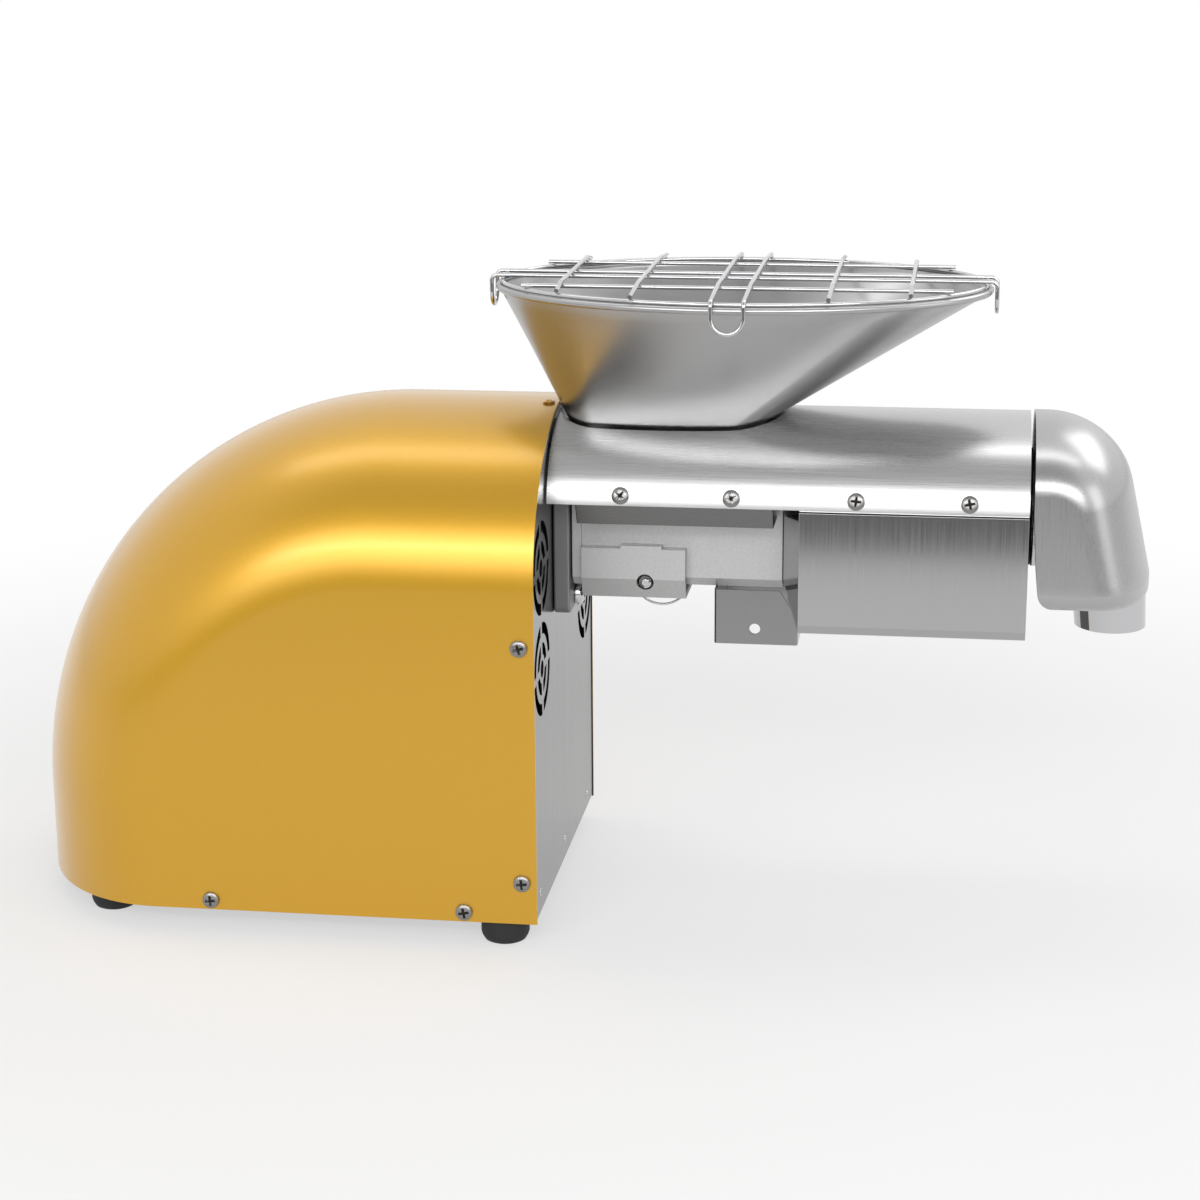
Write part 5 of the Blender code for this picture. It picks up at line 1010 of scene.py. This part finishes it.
hood = hood_form("hood_sheet", 0)
mouth = turned("hood_mouth", rod(NUT_RADIUS, -0.004, 0.008), (HOOD_LOW[0], 0, SHAFT_Z), "X")
drain = turned("hood_drain", rod(FLARE + GAP, -0.008, OUTLET_RISE), (at_x(OUTLET_X), 0, HOOD_LOW[2]),
               slope=HOOD_SLOPE)
hood = cut(hood, hood_form("hood_hollow", WALL), mouth, drain)
settle(soften(hood, 0.0003, 2, 50), hood_steel, "discharge_elbow", sharp=40)
profile = [(FLARE - WALL, OUTLET_RISE), (FLARE, OUTLET_RISE), (OUTLET, -OUTLET_DROP + LIP_ROUND),
           (OUTLET - LIP_ROUND, -OUTLET_DROP), (OUTLET - WALL + LIP_ROUND, -OUTLET_DROP),
           (OUTLET - WALL, -OUTLET_DROP + LIP_ROUND), (FLARE - WALL, OUTLET_RISE)]
spout = turned("outlet_spout", profile, (at_x(OUTLET_X), 0, HOOD_LOW[2]), "Z", 96, HOOD_SLOPE)
settle(spout, chrome, "outlet_tube")
print("hood from", round(HOOD_LOW[0], 4), "to", round(NOSE, 4))

# %% [markdown]
# The castings keep the frame's own shape. They get small round edges here, because an edge without any
# width never catches the light.

# %% Castings, tray, plates and the barrel's end
EDGES = {
    "arm_casting": (0.0007, blasted), "clamp_block": (0.0006, blasted),
    "mounting_flange": (0.0010, plain_casting), "base_tray": (0.0004, dark_casting),
    "control_plate": (0.0002, black_plastic), "display_window": (0.0002, smoked),
    "power_rocker": (0.0005, red_plastic), "direction_rocker": (0.0005, black_plastic),
    "power_inlet": (0.0004, black_plastic), "barrel_nut": (0.0005, machined),
    "insulating_ring": (0.0002, shadow_black), "press_barrel": (0.0002, machined)}
for node, (width, finish) in EDGES.items():
    settle(rebuilt(node, width, 2, 18), finish, node, sharp=18)
print(len(EDGES), "nodes with round edges")

# %% [markdown]
# The feet and the two domed flange bolts are turned profiles; a hexagon socket is cut into each dome.

# %% Feet and flange bolts
for node in [name for name in frame["nodes"] if name.startswith("foot_")]:
    low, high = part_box(node)
    radius, height = (high[0] - low[0]) / 2, high[2]
    profile = [(0, 0), (radius - 0.003, 0), (radius - 0.0018, 0.0006), (radius - 0.0006, 0.0026),
               (radius, 0.0045), (radius, height - 0.0008), (radius - 0.0008, height), (0, height)]
    settle(turned(node + "_turned", profile, (*middle_of(low, high)[:2], 0)), rubber, node)
for node in ("flange_bolt_near", "flange_bolt_far"):
    low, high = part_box(node)
    radius, height = (high[1] - low[1]) / 2, high[0] - low[0]
    at = (low[0], *middle_of(low, high)[1:])
    profile = [(0, 0), (radius, 0), (radius, height * 0.45), (radius * 0.93, height * 0.72),
               (radius * 0.74, height * 0.93), (radius * 0.52, height), (0, height)]
    hexagon = turned("bolt_socket", rod(0.0026, 0.0018, 0.01), at, "X", 6)
    settle(cut(turned(node + "_dome", profile, at, "X"), hexagon), bright, node, sharp=30)
print("feet and bolts done")

# %% [markdown]
# All screws with a cross are one head, copied by a Geometry Nodes tree. The places are loose points that
# carry the way each head faces, its size and its turn, because no two screws stop at the same angle.

# %% The tree that copies heads onto places
HEAD_VALUES = {"facing": "FLOAT_VECTOR", "size": "FLOAT", "turn": "FLOAT"}
heads_on_places = geometry_tree("heads_on_places", {"Places": "Geometry", "Head": "Object",
                                                    "Scale": "Float"}, "Heads")
add_nodes(heads_on_places, "Geometry", {
    **{name: ("InputNamedAttribute", {"data_type": kind, "Name": name})
       for name, kind in HEAD_VALUES.items()},
    "head": "ObjectInfo", "copies": "InstanceOnPoints", "turned": "RotateInstances"})
add_nodes(heads_on_places, "Function", {"way": ("AlignRotationToVector", {"axis": "Z"})})
add_nodes(heads_on_places, "Shader", {"spin": "CombineXYZ", "bigger": TIMES})
link_up(heads_on_places, "facing.Attribute > way.Vector", "size.Attribute > bigger.0",
        "given.Scale > bigger.1", "turn.Attribute > spin.Z", "given.Head > head.Object",
        "given.Places > copies.Points", "head.Geometry > copies.Instance", "way.Rotation > copies.Rotation",
        "bigger.0 > copies.Scale", "copies.Instances > turned.Instances", "spin.Vector > turned.Rotation",
        "turned.Instances > realize.Geometry")
chance = random.Random(5)


def heads(name, template, places, finish, *nodes, slot=None):
    """Copies a head onto places, each a point, the way it faces and its size, and settles them."""
    points = bpy.data.meshes.new(name)
    points.from_pydata([place for place, _, _ in places], [], [])
    for value, kind in HEAD_VALUES.items():
        points.attributes.new(value, kind, "POINT")
    for number, (_, way, scale) in enumerate(places):
        points.attributes["facing"].data[number].vector = way
        points.attributes["size"].data[number].value = scale
        points.attributes["turn"].data[number].value = chance.uniform(0, math.tau)
    copies = apply_tree(link(name, points), heads_on_places, Head=template, Scale=1.0,
                        Finish=finish.material)
    settle(copies, finish, *nodes, slot=slot, sharp=30)


ORIGIN = (0, 0, 0)
PAN, PAN_HIGH = 0.0044, 0.0024


def cross_outline(reach, bar):
    return [(reach, -bar), (reach, bar), (bar, bar), (bar, reach), (-bar, reach), (-bar, bar),
            (-reach, bar), (-reach, -bar), (-bar, -bar), (-bar, -reach), (bar, -reach), (bar, -bar)]


def cross_head(name, profile, floor):
    """A screw head with a cross recess down to floor."""
    deep, high = floor - 0.0003, 0.004
    recess = plate("recess", [cross_outline(0.0027, 0.00065)], floor, high, "Z")
    middle = turned("recess_middle", [(0, deep), (0.0009, deep), (0.0014, high), (0, high)], ORIGIN, "Z", 4)
    return bake(soften(cut(turned(name, profile, ORIGIN, "Z", 32), recess, middle), 0.00008, 1, 40))


pan_profile = [(0, 0), (PAN, 0), (PAN, 0.0011), (0.00420, 0.00170), (0.0036, 0.00212), (0.0028, 0.00233),
               (0.0020, PAN_HIGH), (0, PAN_HIGH)]
low_profile = [(0, 0), (PAN, 0), (0.0042, 0.0004), (0.0030, 0.0007), (0, 0.0008)]
pan_head = cross_head("pan_head", pan_profile, 0.0004)
low_head = cross_head("low_head", low_profile, 0.0001)
# A near-black cross of painted shade, which sits inside a pan head's recess.
shade_cross = bake(plate("shade_cross", [cross_outline(0.0025, 0.0006)], 0.0012, 0.0016, "Z"))
print("pan head of", len(pan_head.data.polygons), "faces")

# %% [markdown]
# Eight pan heads hold the barrel cover to its rails, eight hold the shell to the tray and the panel,
# and small low ones sit in the panel, the control plate and the top of the shell. A near-black plate
# inside each pan head is painted shade in its recess, where hardly any light gets in.

# %% Screws in their places
COVER_SCREW_X = (0.0384, 0.0942, 0.1562, 0.2120)
COVER_SCREW_Z, COVER_SCREW_SINK = 0.2292, 0.0002
PANEL_SCREWS = ((-0.0857, 0.0260), (-0.0044, 0.0249), (0.0769, 0.0222))
PLATE_INSET = 0.0045

rise = (COVER_SCREW_Z - ARCH_Z) / ARCH_RISE
lean_out = Vector((0, sqrt(1 - rise ** 2) / ARCH_HALF, rise / ARCH_RISE)).normalized()
depth = arch_half_at(COVER_SCREW_Z) - COVER_SCREW_SINK
cover_places = [((at_x(x), side * depth, COVER_SCREW_Z), (0, side * lean_out.y, lean_out.z), 1.0)
                for x in COVER_SCREW_X for side in (-1, 1)]
heads("cover_screws", pan_head, cover_places, plated, slot="polished_stainless")
# Near-black crosses of painted shade in the cover screws' recesses.
heads("cover_crosses", shade_cross, cover_places, shadow_black, slot="black_plastic")

housing_screws = [name for name in frame["nodes"] if name.startswith("housing_screw_")]
housing_places = []
for x, _, z in (middle_of(*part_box(node)) for node in housing_screws):
    housing_places += [((x, side * HALF_WIDTH, z), (0, side, 0), 1.0) for side in (-1, 1)]
heads("housing_screws", pan_head, housing_places, plated, *housing_screws)
# Near-black crosses of painted shade in the housing screws' recesses.
heads("housing_crosses", shade_cross, housing_places, shadow_black, slot="black_plastic")

panel_places = [((PANEL, y, z), (1, 0, 0), 0.5) for y, z in PANEL_SCREWS]
top_places = [((at_x(-0.0046), -0.0134, TOP - 0.00005), (0, 0, 1), 0.75)]
plate_places = [((x, control_high[1], z), (0, 1, 0), 0.42)
                for x in (control_low[0] + PLATE_INSET, control_high[0] - PLATE_INSET)
                for z in (control_low[2] + PLATE_INSET, control_high[2] - PLATE_INSET)]
heads("panel_screws", low_head, panel_places, machined, slot="polished_stainless")
heads("top_screw", low_head, top_places, gold, slot="gold_paint")
heads("plate_screws", low_head, plate_places, machined, slot="polished_stainless")
print("screws:", len(cover_places + housing_places + panel_places + top_places + plate_places))

# %% [markdown]
# The quick pin holds the press head in its clamp. It is a plain turned pin with a collar and an eye, and
# a ring of wire hangs from the eye.

# %% Lock pin and pull ring
settle(rebuilt("locking_pin", 0.0004, 2, 30), bright, "locking_pin")
low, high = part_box("pull_ring")
RING_WIRE = (high[1] - low[1]) / 2
ring_radius = (high[0] - low[0]) / 2 - RING_WIRE
ring_x, ring_y, ring_z = middle_of(low, high)
hoop = [(ring_x + x, ring_y, ring_z + z) for x, z in circle((0, 0), ring_radius, 72)]
settle(wire("pull_hoop", hoop, RING_WIRE, closed=True), bright, "pull_ring", sharp=60)
print("ring radius", round(ring_radius, 4))

# %% [markdown]
# The press screw inside the barrel is a main piece with a rule for its shape, so a tree makes it: a
# helix carries a thread section whose foot sits in the swelling root. The root itself is turned.

# %% Press screw
PITCH, TIP_RADIUS = 0.0280, 0.0160
ROOT = (0.0085, 0.0128)
THREAD_FROM, THREAD_TO, THREAD_STEPS = 0.0240, 0.2370, 48
FOOT_HALF, CREST_HALF, FOOT_SINK = 0.0035, 0.0018, 0.0008
SHAFT, COLLAR, COLLAR_FROM = 0.0090, 0.0118, -0.0093

screw_thread = geometry_tree("thread", {"Section": "Geometry", "Turns": "Float", "Length": "Float",
                                        "Radius": "Float", "Steps": "Int"}, "Thread")
add_nodes(screw_thread, "Geometry", {
    "helix": "CurveSpiral", "upright": ("SetCurveNormal", {"mode": "Z_UP"}),
    "outline": "MeshToCurve", "sweep": ("CurveToMesh", {"Fill Caps": True})})
link_up(screw_thread, "given.Turns > helix.Rotations", "given.Steps > helix.Resolution",
        "given.Radius > helix.Start Radius", "given.Radius > helix.End Radius",
        "given.Length > helix.Height", "helix.Curve > upright.Curve", "given.Section > outline.Mesh",
        "upright.Curve > sweep.Curve", "outline.Curve > sweep.Profile Curve",
        "sweep.Mesh > realize.Geometry")

# Across the section, plus is towards the axis; along it, plus is along the helix's own axis.
reach = TIP_RADIUS - ROOT[0] + FOOT_SINK
section = bpy.data.meshes.new("press_screw_thread")
section.from_pydata([(0, -CREST_HALF, 0), (reach, -FOOT_HALF, 0), (reach, FOOT_HALF, 0),
                     (0, CREST_HALF, 0)], [(0, 1), (1, 2), (2, 3), (3, 0)], [])
turns = (THREAD_TO - THREAD_FROM) / PITCH
thread = bake(apply_tree(link("press_screw_thread", section), screw_thread, Turns=turns,
                         Length=THREAD_TO - THREAD_FROM, Radius=TIP_RADIUS, Steps=THREAD_STEPS,
                         Finish=machined.material))
for vertex in thread.data.vertices:
    across, up, along = vertex.co
    vertex.co = (at_x(THREAD_FROM) + along, across, SHAFT_Z + up)
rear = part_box("press_screw")[0][0] - PANEL
profile = [(0, rear), (SHAFT - 0.0008, rear), (SHAFT, rear + 0.0008), (SHAFT, COLLAR_FROM),
           (COLLAR, COLLAR_FROM), (COLLAR, 0.0165), (ROOT[0], 0.0170), (ROOT[1], 0.2440),
           (ROOT[1] * 0.86, 0.2476), (ROOT[1] / 2, 0.2500), (0, 0.2500)]
core = turned("press_screw_root", profile, (PANEL, 0, SHAFT_Z), "X")
settle(join(core, thread), machined, "press_screw", sharp=40)
print("thread of", round(turns, 1), "turns")

# %% [markdown]
# The control side has two push buttons with raised arrows, and the appliance inlet has three blades.
# The rockers, the window and the plate already have their edges.

# %% Buttons, arrows and blades
for node, sign in (("heat_up_button", 1), ("heat_down_button", -1)):
    low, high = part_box(node)
    radius, length = (high[0] - low[0]) / 2, high[1] - low[1] - 0.0003
    x, _, z = middle_of(low, high)
    profile = [(0, 0), (radius, 0), (radius, length - 0.0007), (radius - 0.0002, length - 0.0002),
               (radius - 0.0007, length), (radius - 0.0014, length - 0.0001), (0, length - 0.0004)]
    settle(turned(node + "_cap", profile, (x, low[1], z), "Y"), black_plastic, node)
    arrow = [(x, z + sign * 0.0014), (x - 0.0016, z - sign * 0.0010), (x + 0.0016, z - sign * 0.0010)]
    top = low[1] + length - 0.0004
    settle(plate(node + "_mark", [arrow], top - 0.0003, top + 0.0002, "Y"), white_mark,
           body=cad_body[node], slot="black_plastic")
low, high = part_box("power_inlet")
x, _, z = middle_of(low, high)
blades = [plate(f"inlet_blades_{number}", [rounded((x + across, z + up), (0.0010, 0.0020), 0.0006, 3)],
                high[1] - 0.0142, high[1] - 0.0030, "Y")
          for number, (across, up) in enumerate(((-0.0070, -0.0022), (0.0070, -0.0022), (0.0, 0.0024)))]
settle(soften(join(*blades), 0.0003), bright, slot="polished_stainless")
print("buttons, arrows and blades done")

# %% [markdown]
# The templates have done their work, and the last cell removes them.

# %% Clear the templates
remove(pan_head, low_head, shade_cross)
